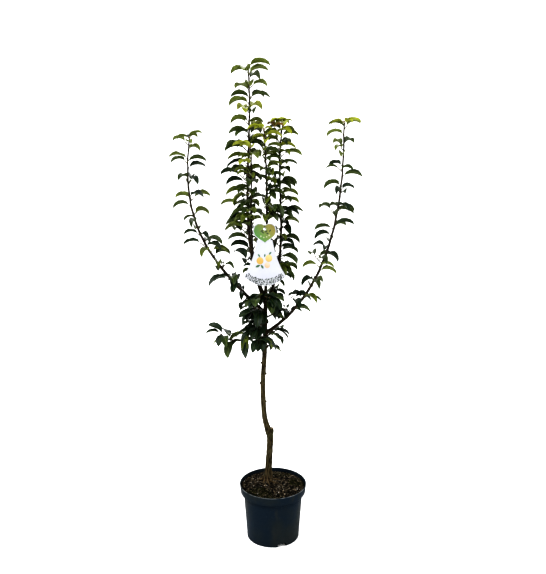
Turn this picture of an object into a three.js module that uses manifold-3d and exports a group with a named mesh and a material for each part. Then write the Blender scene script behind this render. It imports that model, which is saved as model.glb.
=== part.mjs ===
// A young pear tree in its nursery pot, with the hanging card it is sold with.
// Millimetres, +Z up. The origin is the middle of the pot's flat underside, and -Y is the front.
import * as THREE from 'three';
import { mergeVertices } from 'three/addons/utils/BufferGeometryUtils.js';
import Module from 'manifold-3d';

const wasm = await Module();
wasm.setup();

const GAP = 0.3;

// The pot: a dark nursery container with a lip band, drained through channels under its floor.
const POT = {
  height: 196,
  rimRadius: 114,
  lipHeight: 29,
  lipFootRadius: 111,
  bodyTopRadius: 101,
  footRadius: 89,
  wall: 2.4,
  floor: 15,
  sides: 40,
};
const DRAINS = { count: 3, first: -70, width: 29, depth: 12, start: 48, holeRadius: 5, holeReach: 66 };

// The potting soil: nearly level, a little higher round the foot of the trunk.
const SOIL = { edge: 184, top: 190, moundRadius: 62 };

// The trunk, from its flat cut on the soil to the fork: bends of its axis, and radii at heights.
const TRUNK_BENDS = [
  [-18, 35, SOIL.top + GAP],
  [-14, 35, 262],
  [-10, 33, 345],
  [-17, 31, 380],
  [-29, 28, 432],
  [-34, 22, 545],
  [-28, 17, 660],
  [-25, 9, 800],
  [-24, 3, 861],
];
const TRUNK_RADII = [
  [190, 16.5],
  [206, 13],
  [240, 10.8],
  [330, 9.8],
  [362, 11.2],
  [392, 9.2],
  [432, 7.8],
  [560, 7.4],
  [760, 6.6],
  [862, 5.6],
];
const TRUNK = { sides: 9, steps: 26, flareRibs: 5, flareDepth: 0.16, flareTop: 240 };

// The rootstock was cut off just above the bud that became the trunk, and its stub stands out.
const GRAFT_STUB = { foot: [-12, 33, 338], top: [-4.5, 33, 384], radii: [8.8, 5.8] };

// Scars of pruned side shoots: height, direction round the trunk in degrees, length.
const PRUNING_SCARS = [
  [478, 20, 5],
  [547, 185, 5],
  [581, -15, 6],
  [620, 190, 5],
  [688, 60, 5],
];
const SCAR = { radii: [3.4, 2.2], rise: 30 };

// The limbs that grow from the trunk. Each follows one curve, from its height on the trunk through
// two handles to its tip. Its first part is bare wood, and the rest is the stem of its foliage.
// radii: at the trunk and at the tip. places: where leaves grow along the stem, the first of them
// turned by turn degrees. blade: length of a leaf low and high on the stem. tilt: how far
// its leaves hang. ahead: the way a level twig points. fan: how far the leaves on its two sides
// rise and hang. fork: a second tip.
const LIMBS = {
  left_bough: {
    height: 799,
    handles: [[-220, 31, 978], [-296, 40, 1096]],
    tip: [-264, 60, 1357],
    radii: [5.0, 1.5],
    bare: 0.11,
    places: 19,
    turn: 60,
    blade: [66, 54],
    seed: 449,
  },
  right_bough: {
    height: 729,
    handles: [[193, -5, 875], [223, -24, 1178]],
    tip: [214, -45, 1413],
    radii: [4.8, 1.4],
    bare: 0.11,
    places: 21,
    turn: 20,
    blade: [64, 52],
    seed: 796,
  },
  low_left_twig: {
    height: 711,
    handles: [[-79, -1, 724], [-126, -14, 692]],
    tip: [-166, -30, 737],
    radii: [2.6, 1.3],
    bare: 0.3,
    places: 10,
    turn: 290,
    ahead: 195,
    tilt: -2,
    fan: 48,
    blade: [60, 54],
    seed: 145,
  },
  left_leader: {
    height: 834,
    handles: [[-124, 20, 1066], [-57, 32, 1326]],
    tip: [-77, 45, 1582],
    radii: [4.6, 1.4],
    bare: 0.09,
    places: 36,
    turn: 55,
    blade: [66, 64],
    seed: 227,
  },
  side_leader: {
    height: 852,
    handles: [[-93, -6, 1005], [-58, -18, 1177]],
    tip: [-69, -30, 1336],
    radii: [3.2, 1.2],
    bare: 0.14,
    places: 16,
    turn: 190,
    blade: [60, 54],
    seed: 957,
  },
  middle_leader: {
    height: 861,
    handles: [[-21, -4, 1040], [-15, -12, 1214]],
    tip: [-27, -20, 1390],
    radii: [4.2, 1.3],
    bare: 0.09,
    places: 26,
    turn: 200,
    blade: [62, 50],
    seed: 257,
  },
  right_leader: {
    height: 834,
    handles: [[70, 18, 1008], [-4, 29, 1216]],
    tip: [31, 42, 1404],
    radii: [4.4, 1.3],
    bare: 0.1,
    places: 28,
    turn: 50,
    blade: [64, 54],
    seed: 68,
    fork: { share: 0.8, turn: 190, rise: 80, length: 96, places: 4 },
  },
};

// Short leafy spurs on the trunk below the fork: where each springs from, its direction round the
// trunk and how steeply it rises in degrees, its length, and its places for leaves.
const SPURS = {
  spur_left_high: { height: 866, turn: 244, rise: 0, length: 70, places: 7, seed: 645 },
  spur_right_high: { height: 844, turn: -78, rise: 20, length: 62, places: 7, seed: 827 },
  spur_front_high: { height: 814, turn: -120, rise: 0, length: 70, places: 6, seed: 685 },
  spur_back_high: { height: 822, turn: 68, rise: 36, length: 70, places: 6, seed: 950 },
  spur_left_middle: { height: 752, turn: 234, rise: 0, length: 70, places: 8, seed: 608 },
  spur_left_low: { height: 784, turn: 152, rise: 34, length: 70, places: 6, seed: 77 },
  spur_right_middle: { height: 784, turn: 18, rise: 18, length: 68, places: 5, seed: 32 },
  spur_back_low: { height: 750, turn: 128, rise: 0, length: 52, places: 6, seed: 575 },
  spur_front_low: { height: 722, turn: -110, rise: 0, length: 68, places: 6, seed: 570 },
  spur_right_low: { height: 670, turn: 14, rise: 48, length: 26, places: 3, seed: 940 },
  spur_right_out: { height: 716, turn: 52, rise: 6, length: 50, places: 5, seed: 457 },
};
const SPUR = { radii: [2.4, 1.2], blade: [58, 50], tilt: -5 };

// How leaves grow. Angles are in degrees, and pairs run from the foot of a stem to its tip.
const LEAF = {
  lastPlace: 0.99,
  turnStep: 142,
  turnJitter: 26,
  lift: [34, 52],
  liftJitter: 16,
  droop: [-48, -36],
  droopJitter: 22,
  petiole: [15, 10],
  petioleRadius: 0.9,
  sizeJitter: 0.2,
  halfWidth: 0.28,
  outline: [0.92, 0.84],
  rise: 1.4,
  keel: 0.6,
};

// Every fifth place low on a long stem bears a short side twig in place of a single leaf. Its
// leaves are given as a share of the way along it, and a turn aside from it in degrees.
const TWIG = { every: 5, first: 1, last: 0.62, rise: 40, length: [34, 20], radii: [1.7, 1.1] };
const TWIG_LEAVES = [[0.5, 130], [0.74, -130], [0.95, 0]];

// A leaf that would come too near another stem, a limb, the card or another leaf shrinks, tilts and
// turns aside through these trials, and is left out when none fits.
const SHRINKS = [1, 0.84];
const TILTS = [0, -28, 22];
const TURNS_ASIDE = [0, 24, -24, 48, -48, 74, -74, 102, -102];
const CLEAR = { neighbour: 3, wood: 7, leaf: 19, card: 6 };

// On a level twig the leaves lie forward along it: this share of their turn away from it is left.
const SWEEP = 0.55;

// The card: a heart over a bell, hung from a thin tie round the middle leader. Heights are above
// the floor, and the shoulders and waist are handles of the heart's and the bell's curves.
const CARD = {
  x: -26,
  back: -35,
  thickness: 0.9,
  notch: 1097,
  hole: 1086,
  holeRadius: 3.5,
  curveSegments: 7,
};
const HEART = { halfWidth: 37, lobe: 1108, widest: 1080, waist: 1058, chin: 1051, point: 1041 };
const BELL = { top: 1051, neck: 24, shoulder: [34, 1000], flare: [46, 965], hem: [68, 934], foot: 903 };
const TIE = {
  height: 1106,
  tilt: 3,
  radius: 0.8,
  sides: 5,
  steps: 26,
  rise: 4,
  bulge: 4,
  reach: 9,
  aside: 3,
};

const FAR = 1000;
const STEM_STEPS = 18;
const SPUR_STEPS = 4;
const COLORS = {
  pot: 0x2c333a,
  soil: 0x33251b,
  bark: 0x5d4c3a,
  shoot: 0x6f5a3c,
  leaf: 0x3f6130,
  youngLeaf: 0x86a04a,
  card: 0xeef0ec,
  tie: 0x20242a,
};

const UP = new THREE.Vector3(0, 0, 1);
const BACK = new THREE.Vector3(0, 1, 0);
const radians = THREE.MathUtils.degToRad;
const lerp = THREE.MathUtils.lerp;
const vector = (xyz) => new THREE.Vector3(...xyz);

// The unit vector at a turn round the vertical and a rise above the level.
function heading(turn, rise) {
  const level = Math.cos(rise);
  return new THREE.Vector3(Math.cos(turn) * level, Math.sin(turn) * level, Math.sin(rise));
}

// Seeded random numbers between 0 and 1.
function seeded(seed) {
  let state = seed;
  return () => {
    state = (state * 16807) % 2147483647;
    return state / 2147483647;
  };
}

// The value between the entries of a table of [place, value] pairs.
function between(table, at) {
  const next = table.findIndex(([place]) => place >= at);
  if (next === 0) return table[0][1];
  if (next < 0) return table.at(-1)[1];
  const [low, high] = [table[next - 1], table[next]];
  return lerp(low[1], high[1], (at - low[0]) / (high[0] - low[0]));
}

// Solids

function solidOf(geometry) {
  const bare = geometry.clone();
  bare.deleteAttribute('normal');
  bare.deleteAttribute('uv');
  const merged = mergeVertices(bare, 1e-4);
  const corners = merged.index.array;
  const triVerts = [];
  for (let i = 0; i < corners.length; i += 3) {
    const [a, b, c] = [corners[i], corners[i + 1], corners[i + 2]];
    if (a !== b && b !== c && c !== a) triVerts.push(a, b, c);
  }
  return new wasm.Manifold(
    new wasm.Mesh({
      numProp: 3,
      vertProperties: new Float32Array(merged.attributes.position.array),
      triVerts: new Uint32Array(triVerts),
    }),
  );
}

// The largest body of a solid that cutting has split.
function largest(solid) {
  return solid.decompose().reduce((most, one) => (one.volume() > most.volume() ? one : most));
}

function meshOf(name, solid, color, roughness) {
  const { vertProperties, triVerts } = solid.getMesh();
  const geometry = new THREE.BufferGeometry();
  geometry.setAttribute('position', new THREE.BufferAttribute(vertProperties, 3));
  geometry.setIndex(new THREE.BufferAttribute(triVerts, 1));
  geometry.computeVertexNormals();
  const material = new THREE.MeshStandardMaterial({ color, roughness, metalness: 0 });
  const mesh = new THREE.Mesh(geometry, material);
  mesh.name = name;
  return mesh;
}

// A closed skin over rings of points. It ends in a flat face or, with an apex, in a point. The
// diagonals of its faces alternate, so that both sides of a thin leaf are folded alike.
function loft(rings, apex) {
  const sides = rings[0].length;
  const last = (rings.length - 1) * sides;
  const index = [];
  for (let ring = 0; ring < last; ring += sides) {
    for (let side = 0; side < sides; side += 1) {
      const a = ring + side;
      const b = ring + ((side + 1) % sides);
      const c = b + sides;
      const d = a + sides;
      if (side % 2) index.push(a, b, c, a, c, d);
      else index.push(a, b, d, b, c, d);
    }
  }
  for (let side = 1; side + 1 < sides; side += 1) {
    index.push(1, (sides + 1 - side) % sides, sides - side);
    if (!apex) index.push(last + 1, last + 1 + side, last + ((2 + side) % sides));
  }
  const points = rings.flat();
  if (apex) {
    for (let side = 0; side < sides; side += 1) {
      index.push(last + side, last + ((side + 1) % sides), points.length);
    }
    points.push(apex);
  }
  return solidOf(new THREE.BufferGeometry().setFromPoints(points).setIndex(index));
}

// Limbs

// The stations of a limb along a curve, each with its place, its direction and its radius.
function stationsOf(curve, steps, radiusAt) {
  const points = curve.getSpacedPoints(steps);
  return points.map((at, i) => {
    const before = points[Math.max(i - 1, 0)];
    const after = points[Math.min(i + 1, steps)];
    return { at, along: after.clone().sub(before).normalize(), radius: radiusAt(i / steps, at.z) };
  });
}

// The point at a share of the way along some stations.
function pointAlong(stations, share) {
  const at = share * (stations.length - 1);
  const low = Math.min(Math.floor(at), stations.length - 2);
  return stations[low].at.clone().lerp(stations[low + 1].at, at - low);
}

// The same stations with the gap added all round, to cut a neighbour clear of them.
function fattened(stations) {
  const wide = stations.map((one) => ({ ...one, radius: one.radius + 1.2 * GAP }));
  wide[0].at = wide[0].at.clone().addScaledVector(wide[0].along, -GAP);
  wide.at(-1).at = wide.at(-1).at.clone().addScaledVector(wide.at(-1).along, GAP);
  return wide;
}

// A tapering tube over some stations, whose radius a swell may change by angle and height.
function tube(stations, sides, swell = () => 1) {
  const reach = stations.at(-1).at.clone().sub(stations[0].at).normalize();
  const reference = Math.abs(reach.y) > 0.8 ? UP : BACK;
  const rings = stations.map(({ at, along, radius }) => {
    const right = reference.clone().cross(along).normalize();
    const far = along.clone().cross(right);
    return Array.from({ length: sides }, (_, side) => {
      const angle = (2 * Math.PI * side) / sides;
      const wide = radius * swell(angle, at.z);
      const point = at.clone().addScaledVector(right, wide * Math.cos(angle));
      return point.addScaledVector(far, wide * Math.sin(angle));
    });
  });
  return loft(rings);
}

const trunkCurve = new THREE.CatmullRomCurve3(TRUNK_BENDS.map(vector), false, 'catmullrom', 0.5);
const trunk = stationsOf(trunkCurve, TRUNK.steps, (_, height) => between(TRUNK_RADII, height));
trunk[0].along = UP;

// The point on a rising limb's axis at a height.
function atHeight(stations, height) {
  const next = stations.findIndex(({ at }) => at.z >= height);
  if (next < 0) return stations.at(-1).at.clone();
  const [low, high] = [stations[next - 1].at, stations[next].at];
  return low.clone().lerp(high, (height - low.z) / (high.z - low.z));
}

// The root flare: low ribs that run down to the soil.
function flare(angle, height) {
  const share = THREE.MathUtils.clamp((TRUNK.flareTop - height) / (TRUNK.flareTop - SOIL.top), 0, 1);
  return 1 + TRUNK.flareDepth * share * Math.cos(TRUNK.flareRibs * angle);
}

function makeTrunk() {
  const stub = new THREE.LineCurve3(vector(GRAFT_STUB.foot), vector(GRAFT_STUB.top));
  const stubStations = stationsOf(stub, 3, (share) => lerp(...GRAFT_STUB.radii, share ** 3));
  let solid = tube(trunk, TRUNK.sides, flare).add(tube(stubStations, 8));
  for (const [height, turn, length] of PRUNING_SCARS) {
    const root = atHeight(trunk, height);
    const reach = length + between(TRUNK_RADII, height);
    const end = root.clone().addScaledVector(heading(radians(turn), radians(SCAR.rise)), reach);
    const scar = stationsOf(new THREE.LineCurve3(root, end), 1, (share) => lerp(...SCAR.radii, share));
    solid = solid.add(tube(scar, 6));
  }
  return solid;
}

const limbs = Object.entries(LIMBS).map(([name, limb]) => {
  const [first, second] = limb.handles.map(vector);
  const curve = new THREE.CubicBezierCurve3(atHeight(trunk, limb.height), first, second, vector(limb.tip));
  const stations = stationsOf(curve, STEM_STEPS, (share) => lerp(...limb.radii, share));
  const split = Math.round(limb.bare * STEM_STEPS);
  const stem = stations.slice(split);
  stem[0] = { ...stem[0], at: stem[0].at.clone().addScaledVector(stem[0].along, GAP) };
  return { name, ...limb, bough: stations.slice(0, split + 1), stem, long: true };
});

const spurs = Object.entries(SPURS).map(([name, spur]) => {
  const root = atHeight(trunk, spur.height);
  const reach = heading(radians(spur.turn), radians(spur.rise)).multiplyScalar(spur.length);
  const line = new THREE.LineCurve3(root, root.clone().add(reach));
  const stem = stationsOf(line, SPUR_STEPS, (share) => lerp(...SPUR.radii, share));
  return { name, ...SPUR, ...spur, ahead: spur.turn, stem, long: false };
});

const masses = [...limbs, ...spurs];
const bareWood = [trunk, ...limbs.map(({ bough }) => bough)];

// Foliage

// The shortest distance from a point to the bark of a limb.
const piece = new THREE.Line3();
const nearest = new THREE.Vector3();
function distance(point, stations) {
  let least = Infinity;
  for (let i = 0; i + 1 < stations.length; i += 1) {
    piece.set(stations[i].at, stations[i + 1].at);
    piece.closestPointToPoint(point, true, nearest);
    least = Math.min(least, nearest.distanceTo(point) - stations[i].radius);
  }
  return least;
}

// The space in front of the middle leader that belongs to the card and its tie.
const halfCard = BELL.hem[0] + CLEAR.card;
const cardSpace = new THREE.Box3(
  new THREE.Vector3(CARD.x - halfCard, -FAR, BELL.foot - CLEAR.card),
  new THREE.Vector3(CARD.x + halfCard, CARD.back + CLEAR.card, HEART.lobe + CLEAR.card),
);
const tieSpace = new THREE.Box3(
  new THREE.Vector3(CARD.x - 2 * CLEAR.card, CARD.back, CARD.hole - 2 * CLEAR.card),
  new THREE.Vector3(CARD.x + 3 * CLEAR.card, CLEAR.card, TIE.height + CLEAR.card),
);

// A leaf or twig keeps to the space that is nearer its own stem than any other, clear of wood.
function fits(points, own) {
  return points.every((point) => {
    if (cardSpace.containsPoint(point) || tieSpace.containsPoint(point)) return false;
    if (bareWood.some((stations) => distance(point, stations) < CLEAR.wood)) return false;
    const least = Math.max(distance(point, own.stem) + CLEAR.neighbour, CLEAR.wood);
    return masses.every((other) => other === own || distance(point, other.stem) > least);
  });
}

// A leaf's rings and tip: a thin petiole sunk in the wood, then a blade with a keel under its rib
// that arches over from its lift to its droop.
function shapeLeaf({ root, turn, lift, droop, petiole, length }) {
  const out = heading(turn, 0);
  const across = new THREE.Vector3(-out.y, out.x, 0);
  const toward = (angle) => {
    const level = out.clone().multiplyScalar(Math.cos(angle));
    return level.addScaledVector(UP, Math.sin(angle));
  };
  const ring = (at, angle, half, rise, keel) => {
    const over = toward(angle + Math.PI / 2);
    const edge = at.clone().addScaledVector(over, rise);
    return [
      edge.clone().addScaledVector(across, half),
      edge.clone().addScaledVector(across, -half),
      at.clone().addScaledVector(over, -keel),
    ];
  };
  const stalk = LEAF.petioleRadius;
  const at = root.clone().addScaledVector(toward(lift), petiole);
  const rings = [ring(root, lift, stalk, stalk / 2, stalk), ring(at, lift, stalk, stalk / 2, stalk)];
  const steps = LEAF.outline.length;
  LEAF.outline.forEach((share, i) => {
    at.addScaledVector(toward(lerp(lift, droop, i / steps)), length / (steps + 1));
    const half = LEAF.halfWidth * length * share;
    rings.push(ring(at, lerp(lift, droop, (i + 0.5) / steps), half, LEAF.rise, LEAF.keel));
  });
  const tip = at.clone().addScaledVector(toward(droop), length / (steps + 1));
  return { rings, tip, middle: rings[2][2].clone().lerp(rings[3][2], 0.5) };
}

// Points all over a leaf's blade, which stand for it when its space is tested.
function bladePoints({ rings, tip }) {
  return [...rings.slice(2).flat(), tip];
}

const leafMiddles = [];
const isCrowded = (point) => leafMiddles.some((other) => other.distanceTo(point) < CLEAR.leaf);

// A leaf's turn drawn toward the way a level twig points, and how far it rises in the twig's fan.
function swept(own, turn) {
  if (own.ahead === undefined) return [turn, 0];
  const ahead = radians(own.ahead);
  const aside = Math.atan2(Math.sin(turn - ahead), Math.cos(turn - ahead));
  return [ahead + SWEEP * aside, -(own.fan ?? 0) * Math.sin(aside)];
}

// Tries a leaf at a place, turned aside and shrunk until it fits, and gives null if it never does.
function growLeaf(own, root, turn, share, random) {
  const [facing, fanned] = swept(own, turn);
  const hang = (own.tilt ?? 0) + fanned;
  const lift = radians(lerp(...LEAF.lift, share) + hang + LEAF.liftJitter * (random() - 0.5));
  const droop = radians(lerp(...LEAF.droop, share) + hang + LEAF.droopJitter * (random() - 0.5));
  const fullLength = lerp(...own.blade, share) * (1 + LEAF.sizeJitter * (random() - 0.5));
  const petiole = lerp(...LEAF.petiole, share);
  for (const shrink of SHRINKS) {
    for (const tilt of TILTS.map(radians)) {
      for (const aside of TURNS_ASIDE.map(radians)) {
        const leaf = shapeLeaf({
          root,
          turn: facing + aside,
          lift: lift + tilt,
          droop: droop + tilt,
          petiole,
          length: fullLength * shrink,
        });
        if (!isCrowded(leaf.middle) && fits(bladePoints(leaf), own)) {
          leafMiddles.push(leaf.middle);
          return leaf;
        }
      }
    }
  }
  return null;
}

// Tries a short side twig at a place in the same way.
function growTwig(own, root, turn, share) {
  const length = lerp(...TWIG.length, share);
  for (const aside of TURNS_ASIDE) {
    const facing = turn + radians(aside);
    const tip = root.clone().addScaledVector(heading(facing, radians(TWIG.rise)), length);
    const middle = root.clone().lerp(tip, 0.5);
    if (!isCrowded(tip) && fits([middle, tip], own)) {
      const line = new THREE.LineCurve3(root, tip);
      return { stations: stationsOf(line, 1, (part) => lerp(...TWIG.radii, part)), facing };
    }
  }
  return null;
}

// All the twigs and leaves of a mass, from the foot of its stem to its tip.
function growMass(own) {
  const random = seeded(own.seed);
  const twigs = [];
  const leaves = [];
  for (let place = 0; place < own.places; place += 1) {
    const share = (place + 1) / own.places;
    const root = pointAlong(own.stem, share * LEAF.lastPlace);
    const turn = radians(own.turn + place * LEAF.turnStep + LEAF.turnJitter * (random() - 0.5));
    const bearsTwig = own.long && place % TWIG.every === TWIG.first && share < TWIG.last;
    const twig = bearsTwig ? growTwig(own, root, turn, share) : null;
    if (twig) {
      twigs.push(twig);
      for (const [part, aside] of TWIG_LEAVES) {
        const facing = twig.facing + radians(aside);
        leaves.push(growLeaf(own, pointAlong(twig.stations, part), facing, share, random));
      }
    } else {
      leaves.push(growLeaf(own, root, turn, share, random));
    }
  }
  if (own.fork) {
    const { share, turn, rise, length, places } = own.fork;
    const root = pointAlong(own.stem, share);
    const tip = root.clone().addScaledVector(heading(radians(turn), radians(rise)), length);
    const stations = stationsOf(new THREE.LineCurve3(root, tip), 1, (part) => lerp(...TWIG.radii, part));
    twigs.push({ stations });
    for (let place = 1; place <= places; place += 1) {
      const part = (place / places) * LEAF.lastPlace;
      const facing = radians(turn + place * LEAF.turnStep);
      leaves.push(growLeaf(own, pointAlong(stations, part), facing, 1, random));
    }
  }
  return { twigs, leaves: leaves.filter(Boolean) };
}

function makeMass(own) {
  const { twigs, leaves } = growMass(own);
  let solid = tube(own.stem, 5);
  for (const { stations } of twigs) solid = solid.add(tube(stations, 3));
  for (const { rings, tip } of leaves) solid = solid.add(loft(rings, tip));
  return solid;
}

// Pot and soil

// A solid turned round the vertical from a profile of [radius, height] points.
function turned(profile) {
  const points = profile.map(([radius, height]) => new THREE.Vector2(radius, height));
  return solidOf(new THREE.LatheGeometry(points, POT.sides).rotateX(Math.PI / 2));
}

const lipFoot = POT.height - POT.lipHeight;
const shelf = lipFoot + POT.wall;

// The pot's inner radius at a height, less a clearance.
function insideRadius(height, clearance) {
  const [low, high, bottom, top] =
    height > lipFoot
      ? [lipFoot, POT.height, POT.lipFootRadius, POT.rimRadius]
      : [0, lipFoot, POT.footRadius, POT.bodyTopRadius];
  return lerp(bottom, top, (height - low) / (high - low)) - POT.wall - clearance;
}

function makePot() {
  let solid = turned([
    [0, 0],
    [POT.footRadius, 0],
    [POT.bodyTopRadius, lipFoot],
    [POT.lipFootRadius, lipFoot],
    [POT.rimRadius, POT.height],
    [POT.rimRadius - POT.wall, POT.height],
    [insideRadius(shelf, 0), shelf],
    [insideRadius(lipFoot, 0), shelf],
    [insideRadius(POT.floor, 0), POT.floor],
    [0, POT.floor],
  ]);
  const length = POT.footRadius;
  for (let i = 0; i < DRAINS.count; i += 1) {
    const turn = radians(DRAINS.first + (360 * i) / DRAINS.count);
    const channel = new THREE.BoxGeometry(length, DRAINS.width, 2 * DRAINS.depth);
    channel.translate(DRAINS.start + length / 2, 0, 0).rotateZ(turn);
    const hole = new THREE.CylinderGeometry(DRAINS.holeRadius, DRAINS.holeRadius, 4 * POT.floor, 10);
    hole.rotateX(Math.PI / 2).translate(DRAINS.holeReach, 0, 0).rotateZ(turn);
    solid = solid.subtract(solidOf(channel)).subtract(solidOf(hole));
  }
  return solid;
}

function makeSoil() {
  const foot = POT.floor + GAP;
  const ledge = shelf + GAP;
  return turned([
    [0, foot],
    [insideRadius(foot, GAP), foot],
    [insideRadius(lipFoot, GAP), ledge],
    [insideRadius(ledge, GAP), ledge],
    [insideRadius(SOIL.edge, GAP), SOIL.edge],
    [SOIL.moundRadius, SOIL.top],
    [0, SOIL.top],
  ]);
}

// Card and tie

// A flat plate from an outline in the XZ plane, whose back face is the card's.
function plate(shape) {
  const geometry = new THREE.ExtrudeGeometry(shape, {
    depth: CARD.thickness,
    bevelEnabled: false,
    curveSegments: CARD.curveSegments,
  });
  return solidOf(geometry.rotateX(Math.PI / 2).translate(CARD.x, CARD.back, 0));
}

function makeCard() {
  const { halfWidth, lobe, widest, waist, chin, point } = HEART;
  const inner = halfWidth / 4;
  const heart = new THREE.Shape().moveTo(0, CARD.notch);
  heart.bezierCurveTo(inner, lobe, halfWidth, lobe, halfWidth, widest);
  heart.bezierCurveTo(halfWidth, waist, inner, chin, 0, point);
  heart.bezierCurveTo(-inner, chin, -halfWidth, waist, -halfWidth, widest);
  heart.bezierCurveTo(-halfWidth, lobe, -inner, lobe, 0, CARD.notch);
  heart.holes.push(new THREE.Path().absarc(0, CARD.hole, CARD.holeRadius, 0, 2 * Math.PI, false));
  const { top, neck, shoulder, flare: skirt, hem, foot } = BELL;
  const bell = new THREE.Shape().moveTo(-neck, top);
  bell.bezierCurveTo(-shoulder[0], shoulder[1], -skirt[0], skirt[1], -hem[0], hem[1]);
  bell.quadraticCurveTo(0, 2 * foot - hem[1], hem[0], hem[1]);
  bell.bezierCurveTo(skirt[0], skirt[1], shoulder[0], shoulder[1], neck, top);
  return plate(heart).add(plate(bell));
}

// The tie is a loop: round the middle leader, over the card's notch and back through its hole.
function makeTie() {
  const leader = limbs.find(({ name }) => name === 'middle_leader').stem;
  const centre = atHeight(leader, TIE.height);
  const girth = leader.find(({ at }) => at.z > TIE.height).radius + TIE.radius + 3 * GAP;
  const seat = CARD.hole + CARD.holeRadius - TIE.radius - 2 * GAP;
  const front = CARD.back - CARD.thickness;
  const route = [
    [CARD.x - TIE.aside, CARD.back + TIE.reach, CARD.notch + 1.5 * TIE.rise],
    [CARD.x, front, CARD.notch + TIE.rise],
    [CARD.x, front - TIE.bulge, lerp(seat, CARD.notch, 0.5)],
    [CARD.x, front + CARD.thickness / 2, seat],
    [CARD.x + TIE.aside, CARD.back + TIE.reach, seat + TIE.rise],
  ];
  const turns = 4;
  for (let step = 0; step <= turns; step += 1) {
    const turn = (Math.PI * step) / turns;
    const height = TIE.height - TIE.tilt * (1 - step / turns);
    route.push([centre.x + girth * Math.cos(turn), centre.y + girth * Math.sin(turn), height]);
  }
  const curve = new THREE.CatmullRomCurve3(route.map(vector), true);
  return solidOf(new THREE.TubeGeometry(curve, TIE.steps, TIE.radius, TIE.sides, true));
}

// The whole plant

const plant = new THREE.Group();
plant.add(meshOf('trunk', makeTrunk(), COLORS.bark, 0.85));

let cutters = tube(fattened(trunk), TRUNK.sides, flare);
for (const { name, bough } of limbs) {
  const solid = largest(tube(bough, 7).subtract(cutters));
  cutters = cutters.add(tube(fattened(bough), 7));
  plant.add(meshOf(name, solid, COLORS.shoot, 0.75));
}
for (const limb of limbs) {
  plant.add(meshOf(`${limb.name}_foliage`, makeMass(limb), COLORS.youngLeaf, 0.6));
}
for (const spur of spurs) {
  const solid = largest(makeMass(spur).subtract(cutters));
  plant.add(meshOf(`${spur.name}_foliage`, solid, COLORS.leaf, 0.5));
}

const container = new THREE.Group();
container.add(meshOf('pot', makePot(), COLORS.pot, 0.5));
container.add(meshOf('potting_soil', makeSoil(), COLORS.soil, 0.95));

const label = new THREE.Group();
label.add(meshOf('tag_card', makeCard(), COLORS.card, 0.4));
label.add(meshOf('tag_tie', makeTie(), COLORS.tie, 0.5));

const tree = new THREE.Group();
tree.add(container, plant, label);

export default tree;
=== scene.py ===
# %% [markdown]
# A young pear tree in its nursery pot.
# The tree is about 1.6 m tall: a grafted trunk that leans, upright leafy leaders, two curved
# boughs, and a hanging card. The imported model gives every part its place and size. This
# lesson gives the parts their surfaces. A coarse solid is hidden, and a finer piece that
# grows by the same rule stands for it.

# %% Load the frame
import math

import bmesh
import bpy
import numpy as np
from mathutils import Matrix, Vector, noise


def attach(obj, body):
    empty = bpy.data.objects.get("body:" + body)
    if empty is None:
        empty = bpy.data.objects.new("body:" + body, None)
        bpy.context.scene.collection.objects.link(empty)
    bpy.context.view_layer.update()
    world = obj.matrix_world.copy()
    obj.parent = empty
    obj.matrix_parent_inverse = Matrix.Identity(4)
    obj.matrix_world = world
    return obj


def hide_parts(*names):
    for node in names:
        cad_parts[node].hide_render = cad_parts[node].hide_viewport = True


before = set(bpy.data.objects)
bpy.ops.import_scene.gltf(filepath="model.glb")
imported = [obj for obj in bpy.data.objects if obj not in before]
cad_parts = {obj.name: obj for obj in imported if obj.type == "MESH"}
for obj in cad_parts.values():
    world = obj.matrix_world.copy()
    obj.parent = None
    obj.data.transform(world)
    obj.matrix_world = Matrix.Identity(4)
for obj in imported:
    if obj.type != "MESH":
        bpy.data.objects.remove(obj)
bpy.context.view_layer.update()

MM = 0.001

# %% [markdown]
# The camera comes first, because every later choice of detail is judged through it.
# The tree is seen from a little above its middle, 2.6 m away, tilted down, so the soil shows
# as an ellipse. A long lens with no shift keeps the pot's sides nearly upright.

# %% Camera
CAMERA = {"away": 2.6, "height": 1.56, "tilt": 14.46, "lens": 52.2, "sensor": 36.0}

camera_data = bpy.data.cameras.new("camera")
camera_data.lens = CAMERA["lens"]
camera_data.sensor_width = CAMERA["sensor"]
camera = bpy.data.objects.new("camera", camera_data)
camera.location = (0, -CAMERA["away"], CAMERA["height"])
camera.rotation_euler = (math.radians(90 - CAMERA["tilt"]), 0, 0)
bpy.context.scene.collection.objects.link(camera)
bpy.context.scene.camera = camera
print("camera at", tuple(round(c, 2) for c in camera.location))

# %% [markdown]
# A studio for plants is a pale floor under large soft lights. The sky does most of the work,
# so that the undersides of the leaves don't go black. A key light from the upper left gives
# the glossy leaves their highlights, and a weaker one from the right rounds the pot. A cut-out
# picture for a plant catalogue has a hard contrast, and one of the view's looks gives it, so
# the colours of the materials can stay those of real bark and leaves.

# %% Light
LIGHTS = {
    "key": {"at": (-2.0, -2.0, 3.8), "size": 1.4, "power": 80},
    "fill": {"at": (2.8, -1.8, 1.8), "size": 2.6, "power": 14},
    "back": {"at": (0.8, 2.8, 2.8), "size": 2.0, "power": 24},
}
SKY = {"color": (1.0, 1.0, 1.0, 1), "strength": 1.08}
AIM = Vector((0, 0, 0.8))

world = bpy.data.worlds.new("sky")
world.use_nodes = True
sky = world.node_tree.nodes["Background"]
sky.inputs["Color"].default_value = SKY["color"]
sky.inputs["Strength"].default_value = SKY["strength"]
bpy.context.scene.world = world
bpy.context.scene.view_settings.view_transform = "Standard"
bpy.context.scene.view_settings.look = "Very High Contrast"

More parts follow.
